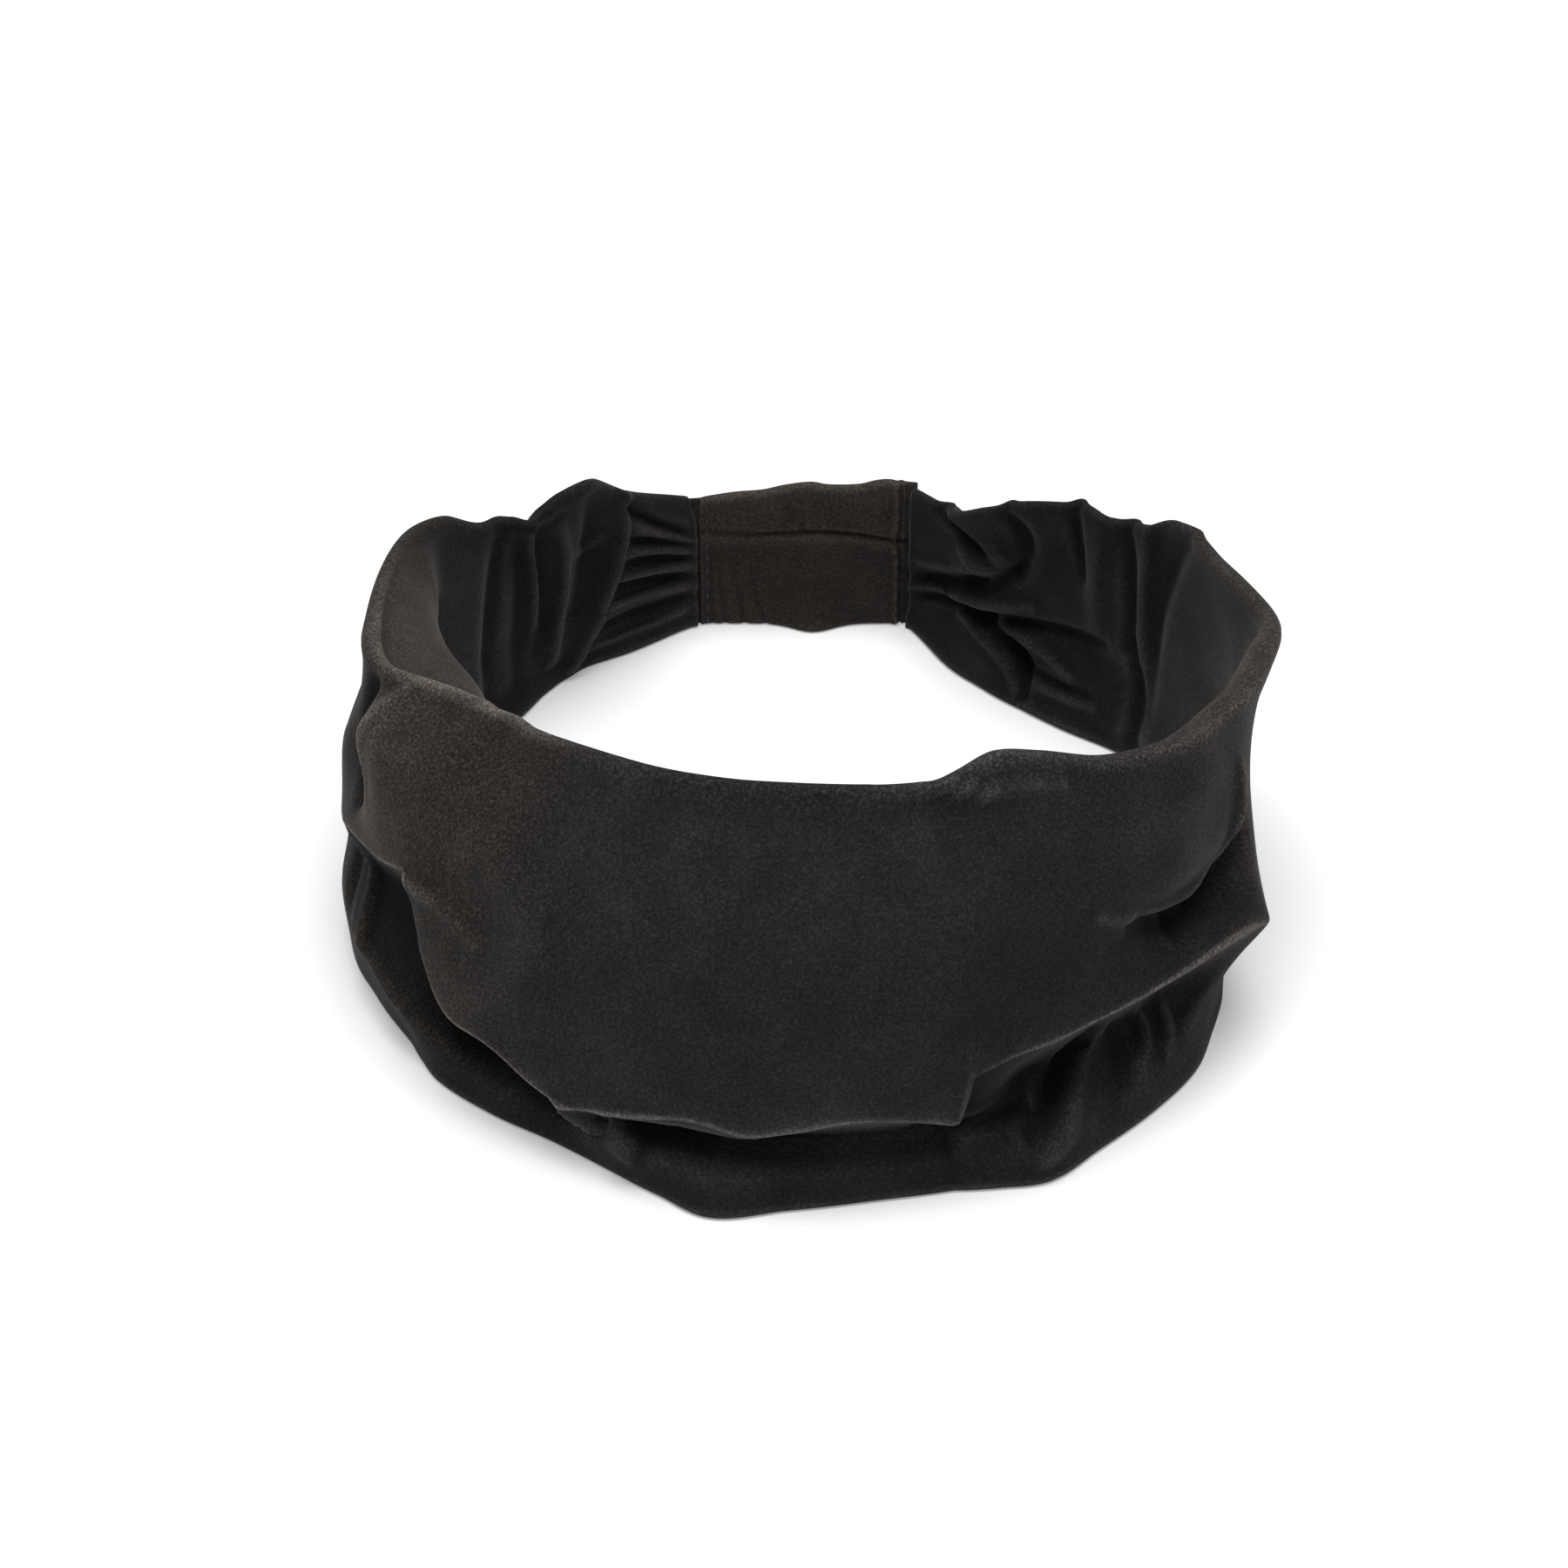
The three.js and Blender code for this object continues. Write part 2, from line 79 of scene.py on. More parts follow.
# ------------ the band's upright sections
# R is a distance from the ring's middle and Z a height. From the floor up, the places are the hem, the
# swell of the hem roll, the tuck above it, the notch and the ridge on the panel's face, and the rolled
# rim. The crease between the tuck and the notch has a table of its own.
COLUMNS = [
    "at", "hemR", "swellR", "swellZ", "tuckR", "tuckZ",
    "notchR", "notchZ", "ridgeR", "ridgeZ", "rimR", "rimZ",
]
SECTION_ROWS = [
    # left back, from the casing out
    [-166.5, 97, 97, 4.5, 97, 8.5, 97, 18.5, 97, 24, 98, 28.7],
    [-158, 92.5, 94, 5, 93.5, 9, 91, 23, 90, 31.5, 90, 37.8],
    [-150, 91, 91, 5, 90, 9, 86, 27, 83, 39, 81, 49.4],
    [-144, 88, 88.5, 5.5, 88, 10, 85, 28.5, 82.5, 40, 79.5, 50.2],
    [-138, 84.5, 86, 6, 86, 10.5, 84.5, 29, 82.5, 40, 79.5, 47.8],
    [-132, 84.5, 85, 6, 84.5, 11, 84, 30, 83, 41, 82.3, 49.4],
    [-126, 85.3, 85.5, 7, 85, 12.5, 84.2, 32, 82.8, 43, 82.8, 55.2],
    [-117, 86, 86, 9, 86, 15, 84.5, 34.5, 82.5, 45.5, 82.5, 58.8],
    # left side
    [-98, 84.3, 83.8, 11, 83.8, 18, 83.5, 36, 79.3, 47, 78.4, 59.2],
    [-92, 83.6, 83.6, 12, 82, 20, 82.2, 40, 79.2, 49, 77.2, 59.6],
    [-86, 82.7, 83.2, 12.5, 80, 21.5, 78.2, 42, 77.4, 51.5, 74.8, 60.3],
    [-80, 81.7, 82.7, 12.5, 76.5, 23, 77.8, 43, 78.2, 53.5, 69, 62],
    [-74, 79.8, 81, 12, 73.5, 25, 78.4, 45, 76.4, 54.5, 64.2, 63.5],
    [-64, 78.2, 79.8, 10, 69, 25.5, 77, 47, 71.5, 57, 59.5, 65.6],
    [-60, 78.5, 79.4, 9, 69, 18, 77, 43.5, 71, 56, 58, 66.3],
    [-55, 78.8, 78, 8, 70, 12, 77, 37, 70.5, 55, 57.8, 67],
    # front panel
    [-45, 76.7, 75.7, 6, 70.5, 10.5, 76.8, 33.5, 70, 53.5, 57.5, 69.6],
    [-36, 75.2, 74.4, 5, 71, 8, 76, 32.5, 70, 52.5, 58, 71.7],
    [-27, 76.3, 77, 6.5, 73.2, 9.2, 75.5, 32, 70, 52, 58.2, 72.7],
    [-19, 79, 78.4, 7, 72.3, 10, 75.5, 32, 70, 52, 58.4, 73.5],
    [-12, 82.2, 80, 6.5, 71, 10, 75.5, 32.3, 70, 52, 58.5, 73.9],
    [-3, 78.8, 77.3, 6, 70.5, 10.5, 75.5, 33, 70.2, 52, 58.5, 74.1],
    [8, 76.8, 75.5, 5.5, 70.8, 10.8, 75.5, 33.5, 70.5, 52.3, 58.5, 73.3],
    [18, 77.5, 76.2, 5.5, 71.5, 11.3, 75.5, 34.5, 71, 53, 58.7, 72.4],
    [20.4, 78.4, 77.3, 5.6, 75, 15.2, 75.3, 35.4, 71.2, 52.9, 59, 72.4],
    [24, 79.8, 78.8, 5.7, 74, 16, 75, 37, 71.6, 52.7, 59.6, 73.8],
    [30, 82.2, 81, 6, 70.3, 15.3, 75.2, 39.3, 72.3, 52, 61, 76.4],
    # right side
    [38, 80.3, 79, 6.5, 70.3, 16, 75.5, 40, 74, 50.8, 63.4, 74.4],
    [48, 79.8, 78.7, 6.8, 71, 16, 74.7, 38.2, 75.8, 47.5, 67.5, 69.9],
    [58, 79.6, 78.2, 6.8, 72.7, 15.2, 74, 36, 77.5, 45.3, 71, 66.9],
    [65, 78.2, 77.4, 6.4, 75.6, 14.4, 75, 35, 78, 45.2, 72.8, 65.6],
    [71, 77.2, 76.8, 6.2, 80.2, 14.8, 80.8, 35.5, 78.6, 47.5, 74.6, 64.5],
    [77, 76, 75.6, 6, 79, 14, 79.2, 36.5, 78, 48.5, 76.8, 63.2],
    [86, 76.3, 76.2, 6.8, 77.2, 14.4, 75.8, 38, 76.3, 50, 79.3, 61.3],
    [96, 77.1, 77.2, 8, 77.7, 15, 78, 38, 79.5, 48, 83.1, 59.8],
    [112, 79, 80, 8, 81, 15, 82, 36, 82.4, 46, 80.8, 57.8],
    # right back, towards the casing
    [124, 80.4, 79.7, 6.3, 81.5, 12.6, 82, 32.5, 82, 43.5, 82, 56],
    [131, 79.3, 79.5, 5, 81.5, 11, 82, 30, 81.5, 41, 80.7, 50.5],
    [140, 77.6, 80, 5, 82, 10.7, 82, 28, 81.5, 38.5, 80, 49.6],
    [149, 78.8, 80.8, 5, 82.5, 10.3, 82, 26.3, 81.5, 35.7, 78, 46.2],
    [155, 81.2, 81.8, 5, 83.5, 10, 82.5, 24.7, 82, 33.5, 80.5, 41.2],
    [161, 85.8, 88, 4.7, 90, 9.5, 88.5, 22, 88, 30, 86.3, 35],
    [167.5, 96.2, 97, 4.5, 97, 9, 97, 19, 97, 26, 97, 31],
]

# The crease where the panel turns over the tuck has more places than the sections. It turns sharply where
# the corner is 1.
CREASE_COLUMNS = ["at", "R", "Z", "corner"]
CREASE_ROWS = [
    [-166.5, 97, 13, 0], [-158, 93, 14.5, 0], [-150, 89, 16, 0],
    [-144, 87.5, 17, 0], [-138, 86, 17.5, 0], [-131, 84.5, 18, 0],
    [-117, 85.5, 22.5, 0], [-98, 83.8, 24, 0], [-87, 83.2, 28, 0],
    [-80, 81.7, 32, 0], [-71, 79, 36, 0], [-62, 78.2, 41.2, 1],
    [-60, 78.2, 34.5, 0], [-58, 78.6, 26.9, 1], [-53.5, 79, 22.4, 0],
    [-45, 79, 19.6, 0], [-36, 78.6, 15, 0], [-32, 78.2, 13.7, 0], [-28, 78, 14.6, 0],
    [-21, 78, 17, 0], [-14, 78, 18.4, 0], [-7.6, 78, 16.6, 0],
    [-3, 78, 17.8, 0], [3, 78, 19.5, 0], [10, 77.8, 18.7, 0],
    [14, 77.4, 17.4, 0], [18.6, 77.2, 15.4, 1], [20.4, 77.4, 25, 1],
    [24, 77.6, 26.9, 0], [28, 78, 28.4, 0], [38, 78.6, 28.6, 0],
    [48, 80.1, 29, 0], [58, 82, 28.6, 0], [65, 83.5, 26.4, 0],
    [71.3, 84.6, 22, 1], [77, 80.8, 20.5, 0], [86, 77.8, 24.5, 0],
    [96, 78.2, 26, 0], [112, 82, 24, 0], [124, 82, 20.5, 0],
    [131, 82, 18, 0], [140, 82.5, 17.5, 0], [149, 83, 17, 0],
    [155, 83.5, 16, 0], [161, 90, 15, 0], [167.5, 97, 14, 0],
]
# How roundly the wall bends at each height: 1 is a full round bend and 0 is a corner.
BEND = {"hem": 0.7, "swell": 0.8, "tuck": 0.8, "crease": 0.12, "notch": 1, "ridge": 0.8, "rim": 0.8}
STEPS_UP = [5, 7, 10, 18, 11, 11]  # rows of mesh between one height and the next
STEP_EASE = 1.4  # over 1 crowds those rows towards the crease

# How finely the band is meshed round the ring, which is finest at the gathers and at the crease's corners:
# from one azimuth to another, and the step in degrees.
STEPS_ROUND = [
    (-166.5, -112, 0.36), (-112, -66, 0.62), (-66, -56, 0.26), (-56, 17, 0.62), (17, 22, 0.25),
    (22, 66, 0.62), (66, 75, 0.36), (75, 112, 0.62), (112, 167.5, 0.36),
]

# The rim is a fuller roll at the sides, where the sleeve's fold opens towards the ring's middle. The third
# column is how much of the painted ridge highlight and hollow shade its edge keeps: 1 keeps as much as a
# fold does.
ROLL_COLUMNS = ["at", "thick", "painted_ridge_shading"]
ROLL_ROWS = [
    [-166.5, 2.4, 0.3], [-150, 2.6, 0.3], [-130, 2.8, 0.2], [-114, 3, 0.3],
    [-98, 3.2, 0.8], [-80, 3.4, 1.4], [-64, 3.2, 1.7], [-52, 3, 1.1], [-38, 2.9, 0.3],
    [0, 2.9, 0.1], [26, 3.4, 0.8], [44, 4, 0.8], [58, 4.6, 0.8],
    [72, 5.4, 0.9], [88, 5.2, 0.9], [98, 3.4, 0.6], [112, 2.8, 0.4],
    [135, 2.6, 0.2], [167.5, 2.4, 0.3],
]
ROLL_FULL = 0.35  # the roll is whole down to here below the rim, in its own thicknesses
ROLL_GONE = 1.3  # and gone from here on
ROUND_STEPS = 4  # rows of mesh over half a turn of a rolled edge

# At the left the sleeve's upper edge is turned in as a broad flap, whose inner edge slants down.
# Reach is how far in it comes, and drop is how far below the rim that edge lies.
FLAP_COLUMNS = ["at", "reach", "drop"]
FLAP_ROWS = [
    [-166.5, 0, 10], [-128, 0, 12], [-117, 4.6, 15], [-108, 10.5, 15.5],
    [-98, 17, 13.5], [-90, 18, 12], [-82, 14.5, 11], [-74, 8, 10],
    [-66, 2, 10], [-62, 0, 10], [167.5, 0, 10],
]
FLAP_FULL = 4.0  # from this reach on, the flap covers the folds of the wall behind it
FLAP_BACK = 1.4  # how far below the rim, in drops, the flap's underside meets the wall
FLAP_SHADE = 2.5  # the painted light on its face
FLAP_LIT_REACH = (1.5, 9)  # the reach from which its face begins to get the painted light, and where it has all of it
FLAP_LIT_DOWN = 1.25  # how far below the rim, in drops, the painted light ends

# Folds pressed into the wall, each along a curve through three points of the cloth, given as an
# azimuth and a height. A positive depth stands outwards and a negative one inwards.
FOLD_COLUMNS = ["name", "at0", "z0", "at1", "z1", "at2", "z2", "width", "depth"]
FOLD_ROWS = [
    # left back
    ["pleat by the casing", -155.3, 41, -153.4, 22, -148.6, 3, 2.0, -3.2],
    ["valley behind that pleat", -156.6, 37, -155.2, 23, -151, 6.5, 1.3, 1.7],
    ["pocket under the peak", -149.5, 46, -150.5, 34, -149.5, 18, 2.9, 2.8],
    ["dimple's lower lip", -146.5, 36.5, -149.5, 31.5, -152.3, 34, 1.2, -0.9],
    ["second pleat", -143.8, 45, -146, 29.6, -144.9, 8, 1.7, -2.4],
    ["valley beside it", -140.2, 46, -142.5, 30, -143, 12, 1.6, 2.3],
    ["third pleat", -138.6, 48, -141.2, 31, -143.4, 12, 1.6, -2.2],
    ["last valley", -137.2, 47, -139, 28, -139, 8, 2.4, 1.3],
    ["left corner", -134.8, 50, -134.2, 30, -133.4, 6, 2.2, 2.2],
    # left gathers, from the rim down: each valley, then the ridge under it
    ["left gather 1, valley", -166.9, 21.8, -161, 29.6, -155.6, 39, 1.15, 1.9],
    ["left gather 1, ridge", -166.9, 20.4, -161, 27.6, -156.2, 34.4, 0.95, -1.2],
    ["left gather 2, valley", -166.9, 19.3, -160, 26.4, -155.4, 29.7, 0.95, 1.5],
    ["left gather 2, ridge", -166.9, 17.9, -160.1, 24.2, -155.8, 26.4, 0.95, -1.2],
    ["left gather 3, valley", -166.9, 16.6, -160.1, 21.7, -156, 23.2, 0.9, 1.4],
    ["left gather 3, ridge", -166.9, 14.9, -159.1, 19.4, -155.3, 20.4, 1.1, -1.3],
    ["left gather 4, valley", -166.9, 12.6, -158.1, 16.9, -153.8, 16.6, 1.1, 1.5],
    ["left gather 4, ridge", -166.9, 10.4, -158.4, 13.2, -152.4, 13.8, 1.3, -1.3],
    ["left gather 5, valley", -166.9, 8.2, -158.4, 8.6, -151.9, 9.2, 1.3, 1.5],
    ["left gather 5, ridge", -166.9, 5.4, -158.4, 4.4, -150.5, 5.6, 1.3, -1.0],
    # right gathers
    ["right notch", 163, 34, 158.4, 31.6, 153.4, 30.4, 1.3, 2.2],
    ["right lip", 158.6, 28.6, 155, 28.8, 152.4, 32, 1.5, -1.8],
    ["right pillow", 159.5, 25.5, 155.5, 27.5, 153.2, 33.5, 2.4, -1.3],
    ["right curved valley, top", 150.6, 43.5, 148.8, 36.5, 150.2, 29, 1.9, 2.6],
    ["right curved valley, turn", 150, 30.5, 153, 25.8, 158.4, 20.6, 1.9, 2.4],
    ["right curved valley, foot", 156.5, 22.4, 163.2, 15.4, 168, 11.2, 1.7, 2.4],
    ["right valley's second lip", 168, 16, 163, 20, 158, 24.6, 1.3, -0.9],
    ["right long ridge", 168, 8.8, 158.2, 17.4, 148, 22.6, 1.7, -2.0],
    ["right sweeping crease, top", 168, 7.2, 161, 12.9, 154.5, 14.8, 1.2, 2.2],
    ["right sweeping crease, foot", 156, 14.8, 150, 10.4, 147.6, 3, 1.5, 2.9],
    ["right branch", 157, 15.4, 149.4, 17.1, 136.5, 20.6, 1.6, 1.9],
    ["right ridge between creases", 154, 13.6, 149, 14.2, 141, 9.8, 1.7, -1.7],
    ["right fold under it", 159, 12.2, 153, 9.4, 148.6, 3, 1.3, -1.6],
    ["right second sweep", 149, 9.6, 145, 7.2, 138, 7.6, 1.3, 1.5],
    ["right low ridge", 146, 5.6, 142, 5.4, 136, 6.2, 1.2, -1.0],
    ["right low hollow", 143, 17, 138, 17.5, 133, 15, 4.2, 1.6],
    # right back
    ["right crease at the rim", 140.3, 52, 140.6, 43, 139.6, 35, 1.4, 1.9],
    ["right second pleat", 136, 49, 137.2, 38, 137, 26, 3.0, -2.0],
    ["right valley", 131.9, 50, 131.4, 36, 131.6, 23, 1.7, 2.4],
    ["right valley's foot", 131, 24, 129.6, 14, 128.6, 4, 1.7, 2.2],
    ["right first pleat", 128, 54, 128.4, 40, 128.2, 22, 1.7, -1.5],
    ["right corner", 120.5, 56, 125.6, 38, 127.6, 5, 2.3, 1.8],
    # right outside, under the panel
    ["front crease's right end", 15, 12.2, 22.5, 12.6, 29.5, 11.4, 1.2, -2.2],
    ["hollow, first valley", 41, 21, 36, 13.6, 28.5, 8.6, 1.5, -2.3],
    ["hollow, first ridge", 44, 18, 37, 11, 29.5, 4.6, 1.6, 1.9],
    ["hollow, dull part", 46.5, 15, 44, 10, 39.6, 6.4, 2.6, -1.3],
    ["hollow, second ridge", 51, 17.4, 51.4, 12.6, 47.2, 9, 1.2, 1.3],
    ["hollow, small fold", 56.6, 14.6, 55.6, 11.2, 52.6, 8.4, 1.1, 1.2],
    ["hollow, last ridge", 66, 10.4, 61, 9.4, 57.6, 8.6, 1.4, 1.0],
    ["panel crease, right", 40, 47.4, 60, 39.6, 72, 53, 1.6, 1.7],
    ["hollow under that crease", 47, 41, 60, 34, 69, 41, 2.9, -3.2],
    ["fold in that hollow", 54, 33, 60, 37.5, 66.5, 44, 1.5, -1.2],
    ["soft ridge over it", 42, 58, 55, 56.5, 66, 57, 3, 0.6],
    ["rim lip", 11, 72.8, 24, 72.6, 39, 70.6, 1.4, 1.5],
    # left outside
    ["left upright strip", -84.5, 27, -80, 20, -74.5, 12, 1.3, 1.4],
    ["left strip's shadow", -88, 22, -84, 16, -80, 10, 1.4, -1.2],
    ["left low ridge", -78, 11.5, -70, 11, -63, 10, 1.7, 1.5],
    ["panel bulge, left", -52, 52, -39, 42, -52, 19, 4.5, 1.7],
    ["soft ridge, left", -63, 38.6, -55, 39, -48, 36.4, 1.9, 1.0],
    ["left side dent", -86.4, 57, -85, 46, -82.2, 37, 2.4, -3.0],
    ["left side ridge", -80, 60, -79.5, 51, -76.5, 41, 1.9, 0.9],
    ["front crease", -27, 13.6, -18, 16.4, -7, 13.8, 1.4, 1.0],
    ["front crease's tail", -33, 12.4, -28.3, 9.8, -23, 7, 1.5, 4.2],
    ["front pocket", -24.5, 12.4, -20, 11.2, -13, 10.4, 1.8, -2.6],
]
FOLD_STEPS = 16
FOLD_END = 0.15  # the share of its swell that a fold's two ends skip
FOLD_BLUNT = 0.7  # under 1 keeps a fold deep for more of its length

# The outer face's shade, where 1 is its plain colour. It is painted light and shade: painted shade in the
# tuck, just under the crease and in the pockets, and painted highlights on the crease's edge and on ridges
# that face the light. It has a value at the hem, in the tuck, just under the crease, on the crease's edge,
# just over it, low on the panel, in its middle and under the rim. Warm is how far the faded cloth leans to
# brown and its nap is brushed up.
PAINTED_SHADE_COLUMNS = ["at", "hem", "tuck", "under", "edge", "foot", "low", "middle", "upper", "warm"]
PAINTED_SHADE_ROWS = [
    [-166.5, 1, 1, 1, 1, 1, 1, 1, 1, 0.5],
    [-135, 0.9, 0.9, 0.9, 1, 0.9, 0.93, 0.95, 1, 0.5],
    [-112, 0.85, 0.9, 0.9, 1.2, 0.95, 0.97, 1, 1.1, 1],
    [-94, 0.8, 0.6, 0.6, 1.6, 0.8, 0.65, 0.5, 0.6, 1],
    [-85, 0.65, 0.5, 0.5, 1.8, 0.9, 0.62, 0.35, 0.5, 1],
    [-81.5, 0.65, 0.5, 0.5, 2, 1.1, 1.1, 1.8, 1.8, 1],
    [-78.5, 0.65, 0.25, 0.2, 2.4, 1.3, 1.7, 2.5, 2.4, 1],
    [-74.5, 0.62, 0.2, 0.12, 2.4, 1.2, 1.45, 1.7, 1.7, 1],
    [-62, 0.6, 0.15, 0.1, 2.7, 1.25, 1.3, 1.35, 1.4, 1],
    [-50, 0.62, 0.18, 0.12, 3.1, 1.35, 1.35, 1.35, 1.25, 0.8],
    [-36, 0.66, 0.65, 0.45, 3.4, 1.35, 1.2, 1.12, 1.3, 0.3],
    [-20, 0.74, 1.8, 1.3, 2.9, 1.4, 1.16, 1.1, 1.27, 0.1],
    [0, 0.8, 2.3, 1.9, 2.1, 1.6, 1.16, 1.1, 1.27, 0],
    [15, 0.8, 2, 1.5, 1.6, 1.5, 1.12, 1.02, 1.25, 0],
    [18.2, 0.8, 0.9, 0.4, 1.4, 1.5, 1.08, 0.93, 1.25, 0],
    [20, 0.76, 0.25, 0.1, 0.9, 1.2, 1.05, 0.88, 1.2, 0],
    [24, 0.76, 0.3, 0.12, 1.7, 1.2, 1, 0.82, 1.2, 0],
    [34, 0.78, 0.55, 0.35, 2.6, 1.15, 0.92, 0.72, 1.12, 0.1],
    [48, 0.88, 0.65, 0.4, 2.7, 0.95, 0.8, 0.69, 1.15, 0.3],
    [60, 0.9, 0.7, 0.4, 2.7, 0.85, 0.74, 0.66, 1.2, 0.4],
    [67, 0.9, 0.75, 0.5, 2.3, 0.85, 0.82, 0.8, 1.3, 0.6],
    [74, 0.9, 0.75, 0.6, 1.8, 1.1, 1.15, 1.2, 1.3, 0.7],
    [100, 0.9, 0.9, 0.9, 1, 0.95, 0.97, 1, 1.25, 0.7],
    [133, 1, 1, 1, 1, 1, 1, 1, 1, 0.4],
    [167.5, 1, 1, 1, 1, 1, 1, 1, 1, 0.3],
]
# Where those values lie up the wall: 0 is the hem, 1 the swell and so on, as in BEND.
PAINTED_SHADE_STOPS = {
    "hem": 1.1, "tuck": 2, "under": 2.88, "edge": 2.98, "foot": 3.15, "low": 3.55, "middle": 4, "upper": 5.8,
}
NAP_WARMTH = [0.1, 0.0, -0.14]  # how much warm cloth gains in red, green and blue
BRUSHED_LEAST = 0.35  # of the nap, on the outer face; the rim and the warm parts are fully brushed up
BRUSHED_INSIDE = 0.3

# The inner face has one shade at each azimuth, which is painted light on the sides that catch the light and
# painted shade on the back walls that face into the ring. Its bounds lean with the folds there: lean is in
# degrees for each millimetre of height.
LINING_COLUMNS = ["at", "shade", "lean"]
LINING_ROWS = [
    [-166.5, 0.85, 0], [-150, 0.75, 0], [-137.5, 0.6, 0], [-134.2, 0.85, 0.06],
    [-131, 1.15, 0.1], [-98, 1.4, 0.1], [-70, 1.4, 0], [-50, 1.3, 0],
    [-36, 1.1, 0], [25, 1, 0], [50, 1.1, 0], [72, 1.3, 0],
    [100, 1.5, 0], [112, 1.6, -0.14], [121, 1.35, -0.14], [126, 1.05, -0.14],
    [130, 0.7, -0.05], [137, 0.75, 0], [150, 0.6, 0], [167.5, 0.5, 0],
]
LINING_MIDDLE = 36.0  # the height about which they lean

# Ridges get a painted highlight and hollows a painted shade. Both are found by evening the surface out.
CREST_SPREAD = 0.35  # how far it is evened out, in square millimetres
CREST_FINEST = 0.25  # the finest mesh step that this counts, in millimetres
CREST_PACE = 0.9  # each round of evening out, as a share of the longest that stays steady
CREST_FULL = 0.18  # a ridge standing this far out gets the full painted highlight
CREST_HIGHLIGHT = 1.7  # how much lighter the painted highlight makes a ridge
CREST_HIGHLIGHT_BEND = 1.3  # over 1 leaves a low ridge plainer
CREST_HOLLOW_SHADE = 0.4  # how much darker the painted shade makes a full hollow

# Slack that no seam or fold explains: long soft swells in the cloth, a row for each. Along and up are its
# wavelengths in millimetres, and start is its phase in turns.
SWELL_COLUMNS = ["along", "up", "start", "depth"]
SWELL_ROWS = [
    [61, 47, 0.10, 0.20],
    [-37, 29, 0.45, 0.14],
    [23, 41, 0.70, 0.10],
    [-17, 19, 0.30, 0.06],
]

# ------------ the casing's sizes
# Places along it are shares of its length from the left. The rest is in millimetres.
CASING_TOP = [
    (0.0, 29.4), (0.07, 30.1), (0.2, 31.1), (0.32, 31.6), (0.42, 32.7), (0.54, 33.4),
    (0.62, 32.8), (0.76, 32.9), (0.84, 33.8), (0.9, 34.0), (1.0, 33.2),
]
CASING_CREASE = [(0.0, 22.6), (0.3, 22.2), (0.6, 22.6), (0.8, 21.6), (1.0, 19.6)]
CASING_STEPS_ALONG = 150
CASING_STEPS_UP = 110
CASING_ROUND = 1.3  # how far in from its edges they are rounded
CASING_BLUNT = 0.25  # the share of its thickness that it keeps at the very edge
CASING_FILL = 7.0  # how far in from its edges it is at its full thickness
CASING_SLANT = 0.04  # how far along from its ends the seam's slant fades out
CASING_OUTSIDE = 0.6  # how much of the inner face's relief is repeated on its outside
CASING_SEAM = 0.955  # where its upright seam is
SEAM_JOG = 0.012  # how far that seam steps aside where the crease crosses it
SEAM_JOG_RISE = 2.2

# What is pressed into its inner face, each with a place, a width and a depth, which is positive towards
# the ring's middle. The places are heights over its crease, then shares from its seam, then shares along.
CREASE_FORMS = [(0, 0.7, -0.35), (-1.8, 1.3, 0.28)]
CREASE_DEEPER = [(0, 0.55, -0.5)]
CREASE_DEEPENS = (0.12, 0.5)  # where along it this second crease begins, and where it is whole
SEAM_FORMS = [(0, 0.009, -0.6), (-0.025, 0.013, 0.35)]
END_FORMS = [(0.03, 0.018, 0.3)]
PUCKERS = [(0.5, 0.012, -0.3), (0.575, 0.012, -0.4)]
PUCKER_FOOT = (0, 1.5)  # over the crease: where a pucker begins, and where it is whole
PUCKER_HEAD = (2, 6)  # over the crease: where it begins to fade, and where it is gone
HEM_PUFFS = [(0.55, 0.13, 3.0)]
HEM_PUFF_RISE = 11.0
HEM_PUFF_BEND = 1.5
# Slanting wrinkles low on its left: where each starts along it, how far it leans and its depth.
WRINKLES = [(0.1, 0.045, -0.3), (0.16, 0.075, -0.36), (0.22, 0.115, -0.3), (0.075, 0.01, -0.2)]
WRINKLE_WIDTH = 0.014
WRINKLE_RISE = 20.0  # the height over which it leans that far
WRINKLE_HEAD = (9, 19)  # where it begins to fade, and where it is gone

CASING_SHADE = 0.86
CASING_LIGHTENING = [(15, 26, 0.3), (27, 32, 0.35)]  # from one height to another, and how much lighter it gets
CASING_CRESTS = 0.4  # how much painted ridge highlight and hollow shade it gets, where the band's are at 1
CASING_BRUSHED = 0.5

STITCH_PITCH = 2.7
STITCH_LENGTH = 2.1
STITCH_THICK = 0.42
STITCH_MARGINS = (1.6, 1.8)  # how far the rows stay from the casing's lower and upper edges
STITCH_PATH_POINTS = 40
STITCH_ROWS = [(0.936, True), (0.062, False)]  # where each row is, and whether it steps aside with the seam


def named(columns, rows):
    return [dict(zip(columns, row)) for row in rows]


SECTIONS = named(COLUMNS, SECTION_ROWS)
CREASE = named(CREASE_COLUMNS, CREASE_ROWS)
CREASE_CORNERS = [place["at"] for place in CREASE if place["corner"]]
FOLDS = named(FOLD_COLUMNS, FOLD_ROWS)
ROLLS = named(ROLL_COLUMNS, ROLL_ROWS)
FLAPS = named(FLAP_COLUMNS, FLAP_ROWS)
PAINTED_SHADES = named(PAINTED_SHADE_COLUMNS, PAINTED_SHADE_ROWS)
LININGS = named(LINING_COLUMNS, LINING_ROWS)
SWELLS = named(SWELL_COLUMNS, SWELL_ROWS)
HEIGHTS = list(BEND)


# ------------ curves
def smoothstep(low, high, x):
    """0 up to the low bound and 1 from the high one, with a soft change between them."""
    t = np.clip((x - low) / (high - low), 0, 1)
    return t * t * (3 - 2 * t)


def ridge(distance, width):
    """1 on a line, which fades out over this width beside it."""
    return np.exp(-((distance / width) ** 2))


